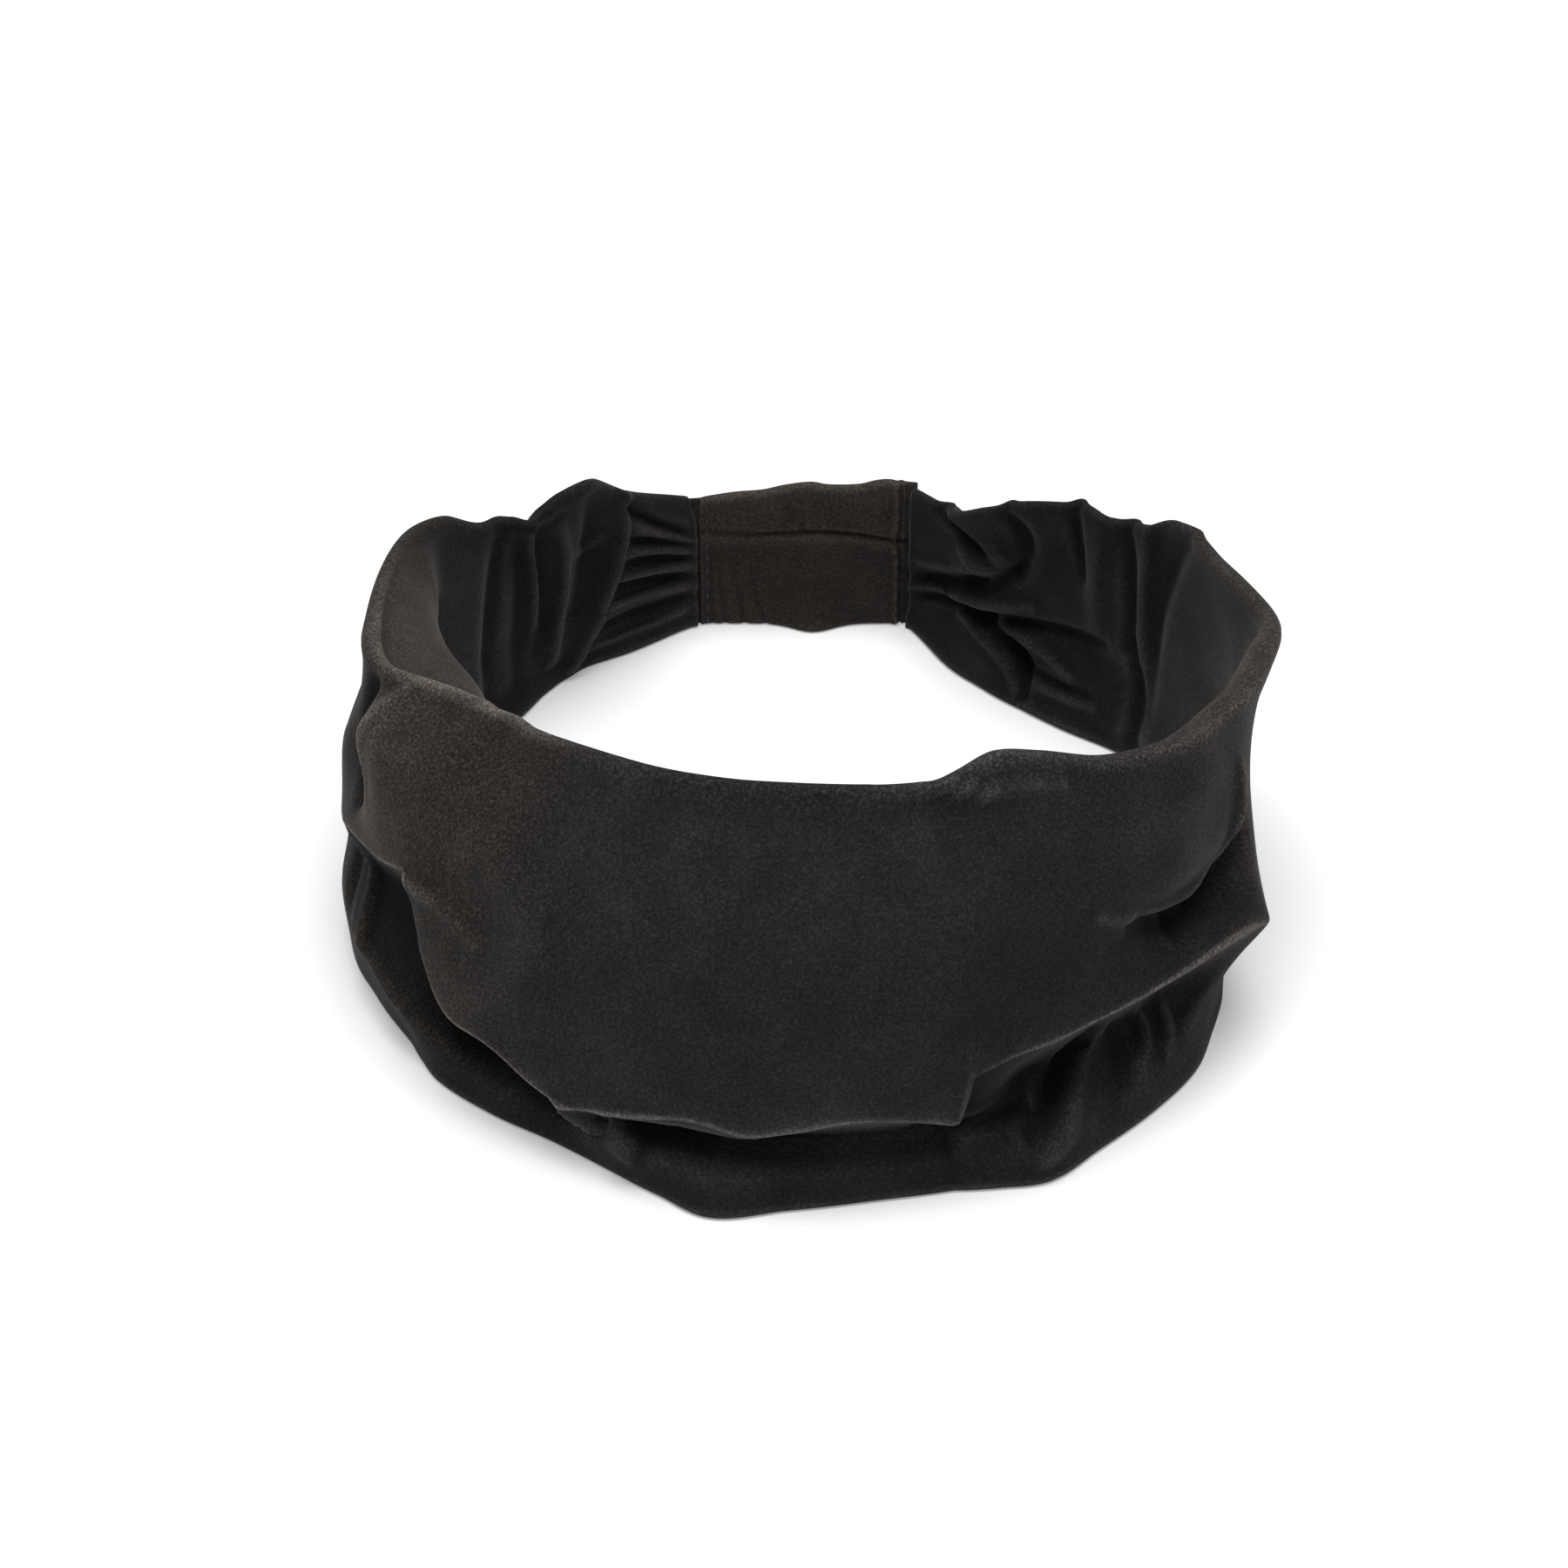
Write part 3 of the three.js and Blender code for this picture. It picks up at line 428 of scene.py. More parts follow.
def cubic(a, b, slope_a, slope_b, length, t):
    """A cubic from a to b over a length, with the slopes at its ends."""
    return (
        (2 * t**3 - 3 * t**2 + 1) * a
        + (t**3 - 2 * t**2 + t) * length * slope_a
        + (3 * t**2 - 2 * t**3) * b
        + (t**3 - t**2) * length * slope_b
    )


def smooth_curve(knots, values, at, corners=()):
    """A smooth curve through values at uneven knots, which turns sharply at the knots that are corners."""
    knots, values, at = (np.asarray(x, float) for x in (knots, values, at))
    step = np.diff(knots)
    rise = np.diff(values) / step
    slope = np.empty_like(values)
    slope[0], slope[-1] = rise[0], rise[-1]
    slope[1:-1] = (rise[:-1] * step[:-1] + rise[1:] * step[1:]) / (step[:-1] + step[1:])
    sharp = np.isin(knots[1:-1], corners)
    before, after = slope.copy(), slope.copy()
    before[1:-1] = np.where(sharp, rise[:-1], slope[1:-1])
    after[1:-1] = np.where(sharp, rise[1:], slope[1:-1])
    i = np.clip(np.searchsorted(knots, at, side="right") - 1, 0, len(knots) - 2)
    t = np.clip((at - knots[i]) / step[i], 0, 1)
    return cubic(values[i], values[i + 1], after[i], before[i + 1], step[i], t)


def column_at(rows, name, at, corners=()):
    return smooth_curve([row["at"] for row in rows], [row[name] for row in rows], at, corners)


def spread(parts):
    """Values from each (from, to, step) part in turn, at most that far apart."""
    out = []
    for start, stop, step in parts:
        count = math.ceil(abs(stop - start) / step)
        out += [start + (stop - start) * k / count for k in range(count)]
    return np.array(out + [parts[-1][1]])


# ------------ the band's wall
def on_ring(at, r, z):
    """Points at these azimuths, a row of radii and heights for each."""
    a = np.radians(at)[:, None]
    return np.stack([r * np.sin(a), -r * np.cos(a), z], -1)


def stop_at(height, at):
    """The radius and the height of one of the section's places, round the ring."""
    if height == "crease":
        return np.stack([column_at(CREASE, name, at, CREASE_CORNERS) for name in ("R", "Z")], -1)
    if height == "hem":
        return np.stack([column_at(SECTIONS, "hemR", at), np.full_like(at, FOOT_WALL / 2)], -1)
    return np.stack([column_at(SECTIONS, height + name, at) for name in ("R", "Z")], -1)


def profiles_at(at):
    """The sections at these azimuths, as rows of radius and height from the hem to the rim."""
    stops = np.stack([stop_at(height, at) for height in HEIGHTS], 1)
    runs = np.diff(stops, axis=1)
    spans = np.linalg.norm(runs, axis=-1, keepdims=True)
    runs = runs / spans
    bends = np.empty_like(stops)
    bends[:, 0], bends[:, -1] = runs[:, 0], runs[:, -1]
    both = spans[:, :-1] + spans[:, 1:]
    bends[:, 1:-1] = (runs[:, :-1] * spans[:, 1:] + runs[:, 1:] * spans[:, :-1]) / both
    bends = bends * np.array([BEND[height] for height in HEIGHTS])[None, :, None]
    points = []
    crease = HEIGHTS.index("crease")
    for i, steps in enumerate(STEPS_UP):
        for k in range(steps):
            t = k / steps
            if i == crease - 1:
                t = 1 - (1 - t) ** STEP_EASE
            elif i == crease:
                t = t**STEP_EASE
            points.append(cubic(stops[:, i], stops[:, i + 1], bends[:, i], bends[:, i + 1], spans[:, i], t))
    points.append(stops[:, -1])
    return np.stack(points, 1)


def fold_lift(along, height):
    """How far the folds push the cloth outwards. A fold is deepest at its middle."""
    lift = np.zeros_like(along)
    for fold in FOLDS:
        ends = [(math.radians(fold[f"at{i}"]) * MEAN_RADIUS, fold[f"z{i}"]) for i in range(3)]
        first, middle, last = (np.array(end) for end in ends)
        pull = 2 * middle - (first + last) / 2
        t = np.linspace(0, 1, FOLD_STEPS + 1)[:, None]
        curve = (1 - t) ** 2 * first + 2 * t * (1 - t) * pull + t**2 * last
        nearest = np.full_like(along, np.inf)
        share = np.zeros_like(along)
        for k in range(FOLD_STEPS):
            (x, z), (dx, dz) = curve[k], curve[k + 1] - curve[k]
            s = np.clip(((along - x) * dx + (height - z) * dz) / (dx * dx + dz * dz), 0, 1)
            gap = (along - x - s * dx) ** 2 + (height - z - s * dz) ** 2
            closer = gap < nearest
            nearest[closer] = gap[closer]
            share[closer] = (k + s[closer]) / FOLD_STEPS
        swell = np.sin(np.pi * (FOLD_END + (1 - 2 * FOLD_END) * share)) ** FOLD_BLUNT
        lift += fold["depth"] * swell * np.exp(-nearest / fold["width"] ** 2)
    return lift


def swell_lift(along, height):
    """How far the slack's soft swells push the cloth outwards."""
    lift = np.zeros_like(along)
    for swell in SWELLS:
        turns = along / swell["along"] + height / swell["up"] + swell["start"]
        lift += swell["depth"] * np.sin(2 * np.pi * turns)
    return lift


def wall_lift(at, z):
    """How far the wall is pushed outwards in all, which calms down at the hem and before the seams."""
    along = np.radians(at)[:, None] * MEAN_RADIUS + 0 * z
    from_seam = np.minimum(along - along[:1], along[-1:] - along)
    calm = SEAM_KEPT + (1 - SEAM_KEPT) * smoothstep(0, SEAM_CALM, from_seam)
    return (fold_lift(along, z) + swell_lift(along, z)) * (np.clip(z / CALM_HEM, 0, 1) * calm)


def face_directions(sheet):
    """The outward direction at each point of a sheet of points, round the ring and up the wall."""
    across = np.cross(np.gradient(sheet, axis=0), np.gradient(sheet, axis=1))
    return across / np.linalg.norm(across, axis=-1, keepdims=True)


def wall_halves(at, climb, below_rim):
    """How far the outer face and the inner one stand from the middle of the wall. Climb is the way up
    the cloth from the hem."""
    foot = (FOOT_WALL - WALL) / 2 * (1 - smoothstep(0, RIM_DEPTH, climb))
    outer = WALL / 2 + foot + (RIM_WALL - WALL) / 2 * (1 - smoothstep(0, RIM_DEPTH, below_rim))
    roll = column_at(ROLLS, "thick", at)[:, None]
    rolled = 1 - smoothstep(ROLL_FULL * roll, ROLL_GONE * roll, below_rim)
    inner = WALL / 2 + foot + (roll - (RIM_WALL + WALL) / 2) * rolled
    return outer, inner


def flap_sizes(at):
    return (np.maximum(column_at(FLAPS, name, at), 0)[:, None] for name in ("reach", "drop"))


def flap_face(at, rim_r, rim_z, below_rim):
    """The flap's face, which slopes in and down from the rim, and how fully it covers each point."""
    reach, drop = flap_sizes(at)
    slope = np.sin(np.clip(below_rim / drop, 0, 1) * np.pi / 2)
    cover = smoothstep(0, FLAP_FULL, reach) * (1 - smoothstep(drop, FLAP_BACK * drop, below_rim))
    return on_ring(at, rim_r - reach * slope, rim_z - below_rim), cover[..., None]


def rolled_edge(outer, inner, up, row, rise):
    """Half a turn round an edge of the wall, from its outer face to its inner one."""
    middle = (outer[:, row] + inner[:, row]) / 2
    spoke = outer[:, row] - middle
    turns = np.linspace(0, math.pi, ROUND_STEPS + 2)[1:-1]
    return np.stack([middle + spoke * math.cos(t) + up[:, row] * math.sin(t) * rise for t in turns], 1)


def closed_rings(outer, inner, up):
    """Both faces made one closed ring at each azimuth: up the outer one, over the crown, down the inner
    one and under the foot, whose middle is where the ring starts and ends."""
    crown = rolled_edge(outer, inner, up, -1, RIM_CROWN)
    foot = rolled_edge(outer, inner, up, 0, -FOOT_WALL / 2)[:, ::-1]
    half = ROUND_STEPS // 2
    rings = np.concatenate([foot[:, half:], outer, crown, inner[:, ::-1], foot[:, :half]], 1)
    rings[..., 2] = np.maximum(rings[..., 2], 0)
    return rings


def closed_values(outer, inner):
    """Values on both faces put in the order of the closed rings."""
    over = np.linspace(0, 1, ROUND_STEPS + 2)[1:-1]
    crown = outer[:, -1:] + (inner[:, -1:] - outer[:, -1:]) * over
    foot = [np.repeat(face[:, :1], ROUND_STEPS // 2, 1) for face in (outer, inner)]
    return np.concatenate([foot[0], outer, crown, inner[:, ::-1], foot[1]], 1)


# ------------ tones of the cloth, painted light and shade among them
def crests(rings):
    """How far each point of a closed surface stands out: 1 on a sharp ridge, -1 in a deep hollow."""
    along = np.maximum(np.linalg.norm(np.diff(rings, axis=0), axis=-1), CREST_FINEST)[..., None]
    around = np.roll(rings, -1, 1) - rings
    around = np.maximum(np.linalg.norm(around, axis=-1), CREST_FINEST)[..., None]
    behind = np.roll(around, 1, 1)
    stride = CREST_PACE * CREST_FINEST**2 / 4
    even = rings.copy()
    for _ in range(round(CREST_SPREAD / stride)):
        pull = (np.roll(even, -1, 1) - even) / around - (even - np.roll(even, 1, 1)) / behind
        pull *= 2 / (around + behind)
        slopes = np.diff(even, axis=0) / along
        pull[1:-1] += np.diff(slopes, axis=0) * 2 / (along[1:] + along[:-1])
        even += stride * pull
    across = np.cross(np.gradient(rings, axis=0), np.roll(rings, -1, 1) - np.roll(rings, 1, 1))
    across /= np.linalg.norm(across, axis=-1, keepdims=True)
    return np.clip(((rings - even) * across).sum(-1) / CREST_FULL, -1, 1)


def painted_ridge_shading(crest):
    """The painted highlight on ridges and the painted shade in hollows, as a factor on the colour."""
    return 1 + CREST_HIGHLIGHT * np.maximum(crest, 0) ** CREST_HIGHLIGHT_BEND - CREST_HOLLOW_SHADE * np.maximum(-crest, 0)


def painted_outer_shade(at):
    """The painted light and shade of the outer face round the ring and up the wall."""
    places = [i + np.arange(steps) / steps for i, steps in enumerate(STEPS_UP)]
    rows = np.concatenate(places + [[len(STEPS_UP)]])
    stops = list(PAINTED_SHADE_STOPS.values())
    weights = [np.interp(rows, stops, own) for own in np.eye(len(stops))]
    return sum(column_at(PAINTED_SHADES, name, at)[:, None] * weight for name, weight in zip(PAINTED_SHADE_STOPS, weights))


def lining_shade(at, z, below_rim):
    """The painted light and shade of the inner face, with the flap's painted light over it."""
    leaning = at[:, None] - column_at(LININGS, "lean", at)[:, None] * (z - LINING_MIDDLE)
    shade = column_at(LININGS, "shade", leaning)
    reach, drop = flap_sizes(at)
    flap_lit = smoothstep(*FLAP_LIT_REACH, reach) * (1 - smoothstep(drop, FLAP_LIT_DOWN * drop, below_rim))
    return shade + (FLAP_SHADE - shade) * flap_lit


def tinted(shade, warm):
    """The colour that a shade, painted light and shade included, gives the nap."""
    return shade[..., None] * (1 + warm[..., None] * np.array(NAP_WARMTH))


def band_tones(at, z, below_rim, rings):
    """The colour of the band's nap, painted light and shade included, and how far it is brushed up, at each
    point of its closed rings.
    """
    at_rim = 1 - smoothstep(0, RIM_DEPTH, below_rim)
    at_rim = closed_values(at_rim, at_rim)
    kept = 1 - at_rim * (1 - column_at(ROLLS, "painted_ridge_shading", at)[:, None])
    shade = closed_values(painted_outer_shade(at), lining_shade(at, z, below_rim)) * painted_ridge_shading(crests(rings) * kept)
    warm = column_at(PAINTED_SHADES, "warm", at)[:, None] + 0 * shade
    inside = closed_values(0 * z, 1 + 0 * z)
    brushed = BRUSHED_LEAST + (1 - BRUSHED_LEAST) * np.maximum(warm, at_rim)
    brushed += (BRUSHED_INSIDE - brushed) * inside
    return tinted(shade, warm), brushed


# ------------ meshes
casing_low, casing_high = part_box("elastic_casing")
RING_MIDDLE = (
    (casing_low.x + casing_high.x) / 2 - (CASING_LEFT + CASING_RIGHT) / 2 * MM,
    (casing_low.y + casing_high.y) / 2 - CASING_MIDDLE_Y * MM,
    0.0,
)


def placed(points):
    """Points in millimetres round the ring's middle, put in the frame in metres."""
    return points * MM + np.array(RING_MIDDLE)


def cloth_places(rings):
    """Where each point lies on the cloth, in metres: round the ring, and up and over the wall."""
    round_step = np.linalg.norm(np.diff(rings, axis=0), axis=-1).mean(1)
    up_step = np.linalg.norm(np.diff(rings, axis=1), axis=-1).mean(0)
    u = np.concatenate([[0], np.cumsum(round_step)])
    v = np.concatenate([[0], np.cumsum(up_step)])
    return np.stack(np.meshgrid(u, v, indexing="ij"), -1) * MM


def ring_faces(stations, count):
    """Quads between closed rings of points, and a ladder of them across both ends."""
    faces = []
    for s in range(stations - 1):
        a, b = s * count, (s + 1) * count
        for i in range(count):
            j = (i + 1) % count
            faces.append((a + i, b + i, b + j, a + j))
    end = (stations - 1) * count
    for i in range(count // 2 - 1):
        across = count - 1 - i
        faces.append((i, i + 1, across - 1, across))
        faces.append((end + i, end + across, end + across - 1, end + i + 1))
    return faces


def loft(name, rings, colour, brushed):
    """A piece of cloth through closed rings of points. Each point carries its place on the cloth, the
    colour of its nap with the painted light and shade in it, and how far that nap is brushed up."""
    mesh = bpy.data.meshes.new(name)
    mesh.from_pydata(placed(rings.reshape(-1, 3)).tolist(), [], ring_faces(*rings.shape[:2]))
    mesh.polygons.foreach_set("use_smooth", [True] * len(mesh.polygons))
    corners = np.zeros(len(mesh.loops), np.int32)
    mesh.loops.foreach_get("vertex_index", corners)
    places = cloth_places(rings).reshape(-1, 2)[corners]
    mesh.uv_layers.new(name="cloth").data.foreach_set("uv", places.astype(np.float32).ravel())
    opaque = np.ones(rings.shape[:2] + (1,))
    nap = mesh.attributes.new("nap", "FLOAT_COLOR", "POINT")
    nap.data.foreach_set("color", np.concatenate([colour, opaque], -1).astype(np.float32).ravel())
    brush = mesh.attributes.new("brushed", "FLOAT", "POINT")
    brush.data.foreach_set("value", brushed.astype(np.float32).ravel())
    mesh.update()
    piece = bpy.data.objects.new(name, mesh)
    bpy.context.collection.objects.link(piece)
    return piece


def trim_end(rings, station, x):
    """Trims an end of the band to the casing's end, slanting through the wall."""
    ring = rings[station]
    middle = ring[:, 1].mean()
    side = -1 if station == 0 else 1
    ring[:, 0] = x + side * SEAM_SLANT * np.clip((ring[:, 1] - middle) / WALL, -0.5, 0.5)


def make_band():
    at = spread(STEPS_ROUND)
    profile = profiles_at(at)
    r, z = profile[..., 0], profile[..., 1]
    base = on_ring(at, r, z)
    out = face_directions(base)
    up = np.gradient(base, axis=1)
    up /= np.linalg.norm(up, axis=-1, keepdims=True)
    rises = np.linalg.norm(np.diff(base, axis=1), axis=-1)
    climb = np.concatenate([np.zeros((len(at), 1)), np.cumsum(rises, 1)], 1)
    below_rim = climb[:, -1:] - climb
    lift = wall_lift(at, z)
    outer_half, inner_half = wall_halves(at, climb, below_rim)
    outer = base + out * (lift + outer_half)[..., None]
    inner = base + out * (lift - inner_half)[..., None]
    flap, cover = flap_face(at, r[:, -1:] - inner_half[:, -1:], z[:, -1:], below_rim)
    inner += (flap - inner) * cover
    rings = closed_rings(outer, inner, up)
    colour, brushed = band_tones(at, z, below_rim, rings)
    trim_end(rings, 0, CASING_LEFT - SEAM_GAP)
    trim_end(rings, -1, CASING_RIGHT + SEAM_GAP)
    return loft("band_cloth", rings, colour, brushed)


def casing_top(share):
    return smooth_curve(*zip(*CASING_TOP), share)


def casing_crease(share):
    return smooth_curve(*zip(*CASING_CREASE), share)


def casing_seam(height, share):
    """Where the casing's upright seam is at this height. It steps aside at the crease."""
    return CASING_SEAM - SEAM_JOG * ridge(height - casing_crease(share), SEAM_JOG_RISE)


def pressed(distance, forms):
    """How far a list of forms stands out, at this distance from where their places are counted."""
    return sum(depth * ridge(distance - place, width) for place, width, depth in forms)


def casing_relief(share, height):
    """How far the casing's inner face stands towards the ring's middle."""
    over_crease = height - casing_crease(share)
    relief = pressed(over_crease, CREASE_DEEPER) * smoothstep(*CREASE_DEEPENS, share)
    relief += pressed(over_crease, CREASE_FORMS)
    puckered = smoothstep(*PUCKER_FOOT, over_crease) * (1 - smoothstep(*PUCKER_HEAD, over_crease))
    relief += pressed(share, PUCKERS) * puckered
    relief += pressed(share - casing_seam(height, share), SEAM_FORMS)
    relief += pressed(share, END_FORMS)
    for start, lean, depth in WRINKLES:
        line = start + lean * (1 - height / WRINKLE_RISE)
        relief += depth * ridge(share - line, WRINKLE_WIDTH) * (1 - smoothstep(*WRINKLE_HEAD, height))
    relief += pressed(share, HEM_PUFFS) * (1 - smoothstep(0, HEM_PUFF_RISE, height)) ** HEM_PUFF_BEND
    return relief


def casing_face(share, height, side):
    """A point of the casing's face: side is -1 towards the ring's middle and 1 on the outside."""
    length = CASING_RIGHT - CASING_LEFT
    from_ends = np.minimum(share, 1 - share) * length
    edge = np.minimum(from_ends, np.minimum(height, casing_top(share) - height))
    roll = np.sqrt(np.clip(1 - (1 - np.clip(edge / CASING_ROUND, 0, 1)) ** 2, 0, 1))
    fill = smoothstep(0, CASING_FILL, edge)
    half = (CASING_EDGE_THICK + (CASING_THICK - CASING_EDGE_THICK) * fill) / 2
    turned = smoothstep(1 - CASING_SLANT, 1, share) - 1 + smoothstep(0, CASING_SLANT, share)
    kept = 1 if side < 0 else CASING_OUTSIDE
    stand = side * half * (CASING_BLUNT + (1 - CASING_BLUNT) * roll)
    y = CASING_MIDDLE_Y + stand - kept * casing_relief(share, height)
    return np.stack([CASING_LEFT + length * share + side * SEAM_SLANT / 2 * turned, y, height], -1)


def make_casing():
    share = np.linspace(0, 1, CASING_STEPS_ALONG + 1)[:, None]
    up = np.linspace(0, 1, CASING_STEPS_UP + 1)[None, :]
    height = casing_top(share) * up
    share = share + 0 * up
    rings = np.concatenate([casing_face(share, height, -1), casing_face(share, height, 1)[:, ::-1]], 1)
    shade = CASING_SHADE + sum(lightening * smoothstep(*bounds, rings[..., 2]) for *bounds, lightening in CASING_LIGHTENING)
    # painted highlight on the casing's ridges and painted shade in its hollows
    shade *= painted_ridge_shading(CASING_CRESTS * crests(rings))
    return loft("casing_cloth", rings, tinted(shade, 0 * shade), CASING_BRUSHED + 0 * shade)


def stitch_tree(thread):
    """Geometry nodes that lay short rounded stitches along a path."""
    tree = bpy.data.node_groups.new("stitches", "GeometryNodeTree")
    tree.interface.new_socket("Path", in_out="INPUT", socket_type="NodeSocketGeometry")
    for name in ("Pitch", "Length", "Thickness"):
        tree.interface.new_socket(name, in_out="INPUT", socket_type="NodeSocketFloat")
    tree.interface.new_socket("Stitches", in_out="OUTPUT", socket_type="NodeSocketGeometry")

    def node(kind, settings=None, sockets=None):
        made = tree.nodes.new(kind)
        for name, value in (settings or {}).items():
            setattr(made, name, value)
        for name, value in (sockets or {}).items():
            if hasattr(value, "is_output"):
                tree.links.new(value, made.inputs[name])
            else:
                made.inputs[name].default_value = value
        return made

    sizes = node("NodeGroupInput").outputs
    path = node("GeometryNodeMeshToCurve", {}, {"Mesh": sizes["Path"]}).outputs["Curve"]
    spaced = node("GeometryNodeResampleCurve", {"mode": "LENGTH"}, {"Curve": path, "Length": sizes["Pitch"]})
    ball = node("GeometryNodeMeshUVSphere", {}, {"Segments": 8, "Rings": 5, "Radius": 0.5})
    size = node("ShaderNodeCombineXYZ", {}, {
        "X": sizes["Thickness"], "Y": sizes["Thickness"], "Z": sizes["Length"],
    })
    stitch = node("GeometryNodeTransform", {}, {
        "Geometry": ball.outputs["Mesh"], "Scale": size.outputs["Vector"],
    })
    tangent = node("GeometryNodeInputTangent").outputs["Tangent"]
    turned = node("FunctionNodeAlignRotationToVector", {"axis": "Z"}, {"Vector": tangent})
    laid = node("GeometryNodeInstanceOnPoints", {}, {
        "Points": spaced.outputs["Curve"], "Instance": stitch.outputs["Geometry"],
        "Rotation": turned.outputs["Rotation"],
    })
    real = node("GeometryNodeRealizeInstances", {}, {"Geometry": laid.outputs["Instances"]})
    smooth = node("GeometryNodeSetShadeSmooth", {}, {"Geometry": real.outputs["Geometry"]})
    dressed = node("GeometryNodeSetMaterial", {}, {
        "Geometry": smooth.outputs["Geometry"], "Material": thread,
    })
    node("NodeGroupOutput", {}, {"Stitches": dressed.outputs["Geometry"]})
    return tree


def stitch_paths():
    """The lines up the casing's inner face that its stitches follow: their points and their edges."""
    points, edges = [], []
    for line, follows in STITCH_ROWS:
        top = float(casing_top(line))
        height = np.linspace(STITCH_MARGINS[0], top - STITCH_MARGINS[1], STITCH_PATH_POINTS)
        aside = casing_seam(height, line) - CASING_SEAM if follows else 0 * height
        places = casing_face(line + aside, height, -1)
        edges += [(len(points) + k, len(points) + k + 1) for k in range(len(places) - 1)]
        points += placed(places).tolist()
    return points, edges


def make_stitches(thread):
    """Rows of stitches up the casing's inner face, beside its seams."""
    path = bpy.data.meshes.new("stitch path")
    points, edges = stitch_paths()
    path.from_pydata(points, edges, [])
    holder = bpy.data.objects.new("stitch path", path)
    bpy.context.collection.objects.link(holder)
    tree = stitch_tree(thread)
    layer = holder.modifiers.new("stitches", "NODES")
    layer.node_group = tree
    sizes = {"Pitch": STITCH_PITCH * MM, "Length": STITCH_LENGTH * MM, "Thickness": STITCH_THICK * MM}
    for socket in tree.interface.items_tree:
        if socket.name in sizes:
            layer[socket.identifier] = sizes[socket.name]
    seen = holder.evaluated_get(bpy.context.evaluated_depsgraph_get())
    piece = bpy.data.objects.new("casing_stitches", bpy.data.meshes.new_from_object(seen))
    bpy.context.collection.objects.link(piece)
    bpy.data.objects.remove(holder)
    return piece


band = make_band()
casing = make_casing()


# ------------ materials
BLACK_DARK = (0.0066, 0.0062, 0.0063, 1)
BLACK_MIDDLE = (0.0137, 0.0128, 0.013, 1)
BLACK_LIGHT = (0.0322, 0.0303, 0.0304, 1)
BLACK_SHEEN = (0.9, 0.86, 0.8, 1)
BROWN_DARK = (0.012, 0.0105, 0.0093, 1)
BROWN_MIDDLE = (0.0225, 0.0192, 0.0168, 1)
BROWN_LIGHT = (0.042, 0.036, 0.031, 1)
BROWN_SHEEN = (0.9, 0.82, 0.74, 1)
THREAD_COLOUR = (0.016, 0.0145, 0.013, 1)
THREAD_ROUGH = 0.6
FLOOR_COLOUR = (0.9, 0.9, 0.91, 1)
FLOOR_ROUGH = 0.9
FLOOR_GLOW = 0.22

FIBRE_STOPS = (0.32, 0.5, 0.72)  # the tones at which the fibres are dark, middling and light
WALE_SHRINK = (1.0, 1.6, 1.0)  # fibres look shorter up the cloth than round the ring
# Noise: its scale, detail and roughness.
FIBRES = (3000, 2.0, 0.6)
FLECKS = (1900, 1.0, 0.5)
PATCHES = (110, 3.0, 0.5)
FIBRE_TONE = 0.4
FLECK_TONE = 0.3
FLECK_TONE_BRUSHED = 0.6  # added to that where the nap is brushed up
PATCH_TONE = 0.2
FIBRE_HEIGHT = 0.5
FLECK_HEIGHT = 0.9
PATCH_HEIGHT = 0.5
NAP_HEIGHT = 0.00024  # in metres
NAP_RELIEF = 0.6
CLOTH_ROUGH = 0.92
PATCH_SMOOTH = 0.1  # how much smoother a patch can be


class Value:
    """A node's output, for use in Python expressions on plain numbers."""

    def __init__(self, finish, socket):
        self.finish = finish
        self.socket = socket

    def maths(self, operation, *terms):
        return self.finish.node("ShaderNodeMath", {"operation": operation}, dict(enumerate(terms)))

    def __add__(self, other):
        return self.maths("ADD", self, other)

    __radd__ = __add__

    def __sub__(self, other):
        return self.maths("SUBTRACT", self, other)

    def __rsub__(self, other):
        return self.maths("SUBTRACT", other, self)

    def __mul__(self, other):
        return self.maths("MULTIPLY", self, other)

    __rmul__ = __mul__


class Finish:
    """A material that is put together from nodes."""

    def __init__(self, name):
        self.material = bpy.data.materials.new(name)
        self.material.use_nodes = True
        self.tree = self.material.node_tree
        self.tree.nodes.clear()

    def node(self, kind, settings=None, sockets=None, output=0):
        """Adds a node with its settings, of which a ramp's stops are one, then sets or links its sockets."""
        made = self.tree.nodes.new(kind)
        for name, value in (settings or {}).items():
            if name == "stops":
                self.set_stops(made.color_ramp.elements, value)
            else:
                setattr(made, name, value)
        for key, value in (sockets or {}).items():
            socket = made.inputs[key]
            if isinstance(value, Value):
                self.tree.links.new(value.socket, socket)
            else:
                socket.default_value = value
        return Value(self, made.outputs[output]) if len(made.outputs) else None

    def set_stops(self, elements, stops):
        while len(elements) < len(stops):
            elements.new(0.5)
        for element, (place, colour) in zip(elements, stops):
            element.position = place
            element.color = colour

    def noise(self, place, scale, detail, roughness):
        return self.node("ShaderNodeTexNoise", {}, {
            "Vector": place, "Scale": scale, "Detail": detail, "Roughness": roughness,
        })

    def multiplied(self, colour, by):
        """One colour multiplied by another. A Mix node's colours are its inputs 6 and 7 and its output 2."""
        settings = {"data_type": "RGBA", "blend_type": "MULTIPLY"}
        return self.node("ShaderNodeMix", settings, {0: 1.0, 6: colour, 7: by}, 2)


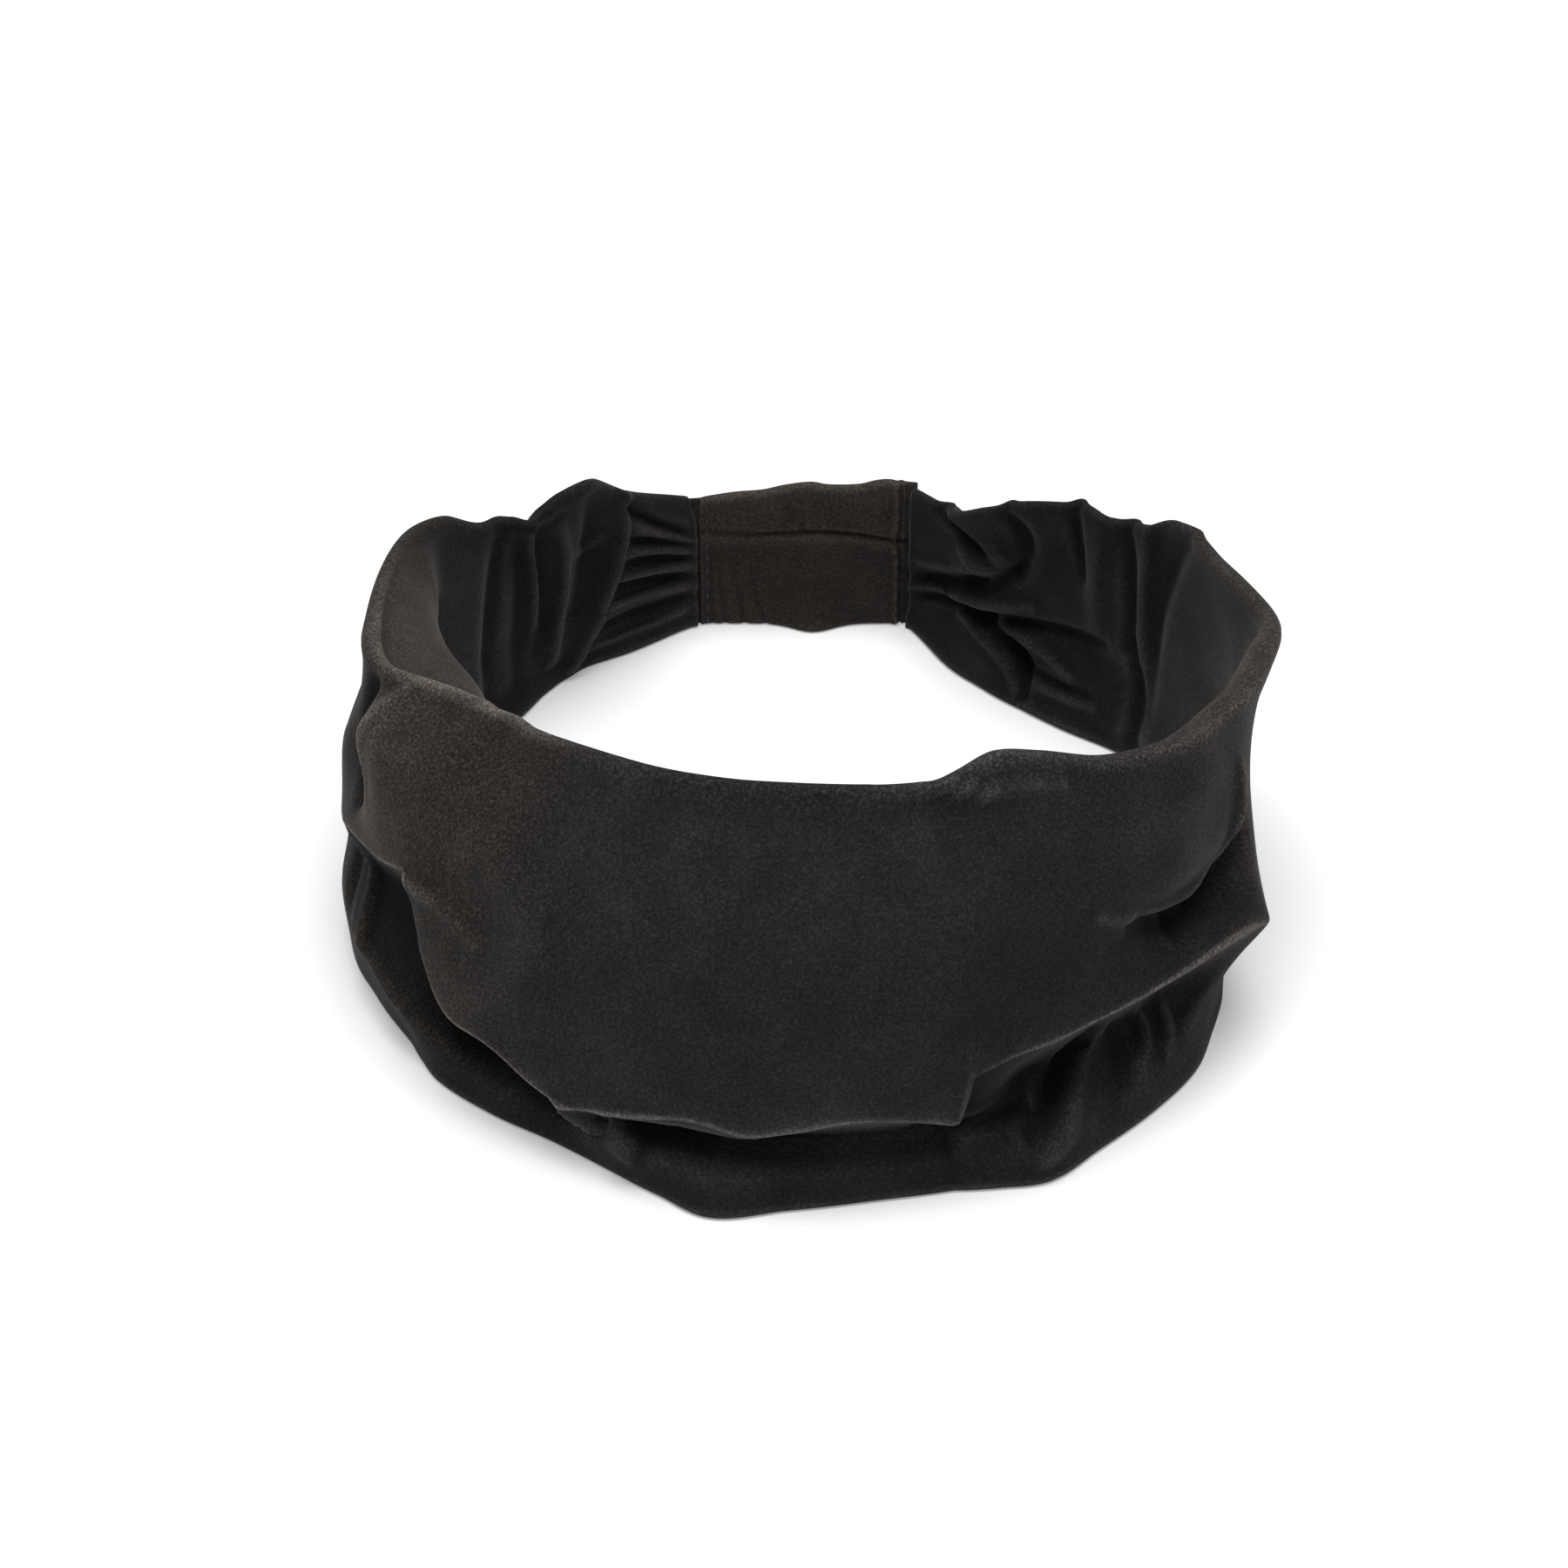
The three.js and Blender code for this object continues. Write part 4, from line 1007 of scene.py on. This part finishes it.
def jersey(name, fibre_colours, sheen_tint):
    """Brushed jersey: a fine knit, a nap of short fibres that catch the light, and soft unevenness."""
    finish = Finish(name)
    place = finish.node("ShaderNodeTexCoord", output="Object")
    cloth = finish.node("ShaderNodeTexCoord", output="UV")
    wales = finish.node("ShaderNodeMapping", {}, {"Vector": cloth, "Scale": WALE_SHRINK})
    brushed = finish.node("ShaderNodeAttribute", {"attribute_name": "brushed"}, {}, "Fac")
    nap = finish.node("ShaderNodeAttribute", {"attribute_name": "nap"}, {}, "Color")
    fibres = finish.noise(wales, *FIBRES)
    flecks = finish.noise(place, *FLECKS)
    patches = finish.noise(place, *PATCHES)
    tone = 0.5 + (fibres - 0.5) * FIBRE_TONE
    tone += (flecks - 0.5) * (FLECK_TONE + FLECK_TONE_BRUSHED * brushed)
    tone += (patches - 0.5) * PATCH_TONE
    stops = list(zip(FIBRE_STOPS, fibre_colours))
    # the nap's colour, which holds the painted light and shade, tints the fibres' colours
    colour = finish.multiplied(finish.node("ShaderNodeValToRGB", {"stops": stops}, {"Fac": tone}), nap)
    height = FIBRE_HEIGHT * fibres + FLECK_HEIGHT * flecks + PATCH_HEIGHT * patches
    relief = finish.node("ShaderNodeBump", {}, {
        "Strength": NAP_RELIEF, "Distance": NAP_HEIGHT, "Height": height,
    })
    shader = finish.node("ShaderNodeBsdfPrincipled", {}, {
        "Base Color": colour,
        "Roughness": CLOTH_ROUGH - PATCH_SMOOTH * patches,
        "Normal": relief,
        "Specular IOR Level": 0.12,
        "Sheen Weight": 0.1,
        "Sheen Roughness": 0.35,
        "Sheen Tint": sheen_tint,
    })
    finish.node("ShaderNodeOutputMaterial", {}, {"Surface": shader})
    return finish.material


def plain(name, colour, roughness, glow=0.0):
    """One colour all over, which may also glow white."""
    finish = Finish(name)
    shader = finish.node("ShaderNodeBsdfPrincipled", {}, {
        "Base Color": colour, "Roughness": roughness,
        "Emission Color": (1, 1, 1, 1), "Emission Strength": glow,
    })
    finish.node("ShaderNodeOutputMaterial", {}, {"Surface": shader})
    return finish.material


band.data.materials.append(jersey("band jersey", (BLACK_DARK, BLACK_MIDDLE, BLACK_LIGHT), BLACK_SHEEN))
casing.data.materials.append(jersey("casing jersey", (BROWN_DARK, BROWN_MIDDLE, BROWN_LIGHT), BROWN_SHEEN))
stitches = make_stitches(plain("sewing thread", THREAD_COLOUR, THREAD_ROUGH))

# ------------ floor, light and camera
FLOOR_HALF = 3.0
ROOM_LIGHT = 0.3
CAMERA_RISE = math.radians(37)
CAMERA_DISTANCE = 0.85
CAMERA_AIM = (-0.0032, -0.0095, 0.0327)  # from the middle of the object, on the floor
CAMERA_LENS = 108.8  # in millimetres, as the sensor
CAMERA_SENSOR = 36
CAMERA_CLIP = (0.01, 50)

floor_mesh = bpy.data.meshes.new("floor")
floor_corners = [(x * FLOOR_HALF, y * FLOOR_HALF, 0) for x, y in ((-1, -1), (1, -1), (1, 1), (-1, 1))]
floor_mesh.from_pydata(floor_corners, [], [(0, 1, 2, 3)])
floor_mesh.materials.append(plain("pale floor", FLOOR_COLOUR, FLOOR_ROUGH, FLOOR_GLOW))
floor = bpy.data.objects.new("floor", floor_mesh)
bpy.context.collection.objects.link(floor)

world = bpy.data.worlds.new("studio")
world.use_nodes = True
sky = world.node_tree.nodes["Background"].inputs
sky["Color"].default_value = (1, 1, 1, 1)
sky["Strength"].default_value = ROOM_LIGHT
bpy.context.scene.world = world


def turned_towards(direction):
    """The rotation that points a light or a camera this way, with its top up."""
    return direction.to_track_quat("-Z", "Y").to_euler()


def area_light(name, place, aim, size, energy):
    lamp = bpy.data.lights.new(name, "AREA")
    lamp.energy, lamp.size = energy, size
    light = bpy.data.objects.new(name, lamp)
    light.location = place
    light.rotation_euler = turned_towards(Vector(aim) - Vector(place))
    bpy.context.collection.objects.link(light)


area_light("overhead", place=(0, -0.05, 1.2), aim=(0, 0, 0), size=0.9, energy=14.5)

middle = (CAD_BOX[0] + CAD_BOX[1]) / 2
target = Vector((middle.x, middle.y, 0)) + Vector(CAMERA_AIM)
back = Vector((0, -math.cos(CAMERA_RISE), math.sin(CAMERA_RISE)))
camera_data = bpy.data.cameras.new("camera")
camera_data.sensor_width = CAMERA_SENSOR
camera_data.lens = CAMERA_LENS
camera_data.clip_start, camera_data.clip_end = CAMERA_CLIP
camera = bpy.data.objects.new("camera", camera_data)
camera.location = target + back * CAMERA_DISTANCE
camera.rotation_euler = turned_towards(-back)
bpy.context.collection.objects.link(camera)
bpy.context.scene.camera = camera
bpy.context.scene.view_settings.view_transform = "Standard"

# ------------ what each piece stands for
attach(band, "root")
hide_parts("band")
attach(casing, "root")
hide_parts("elastic_casing")
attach(stitches, "root")
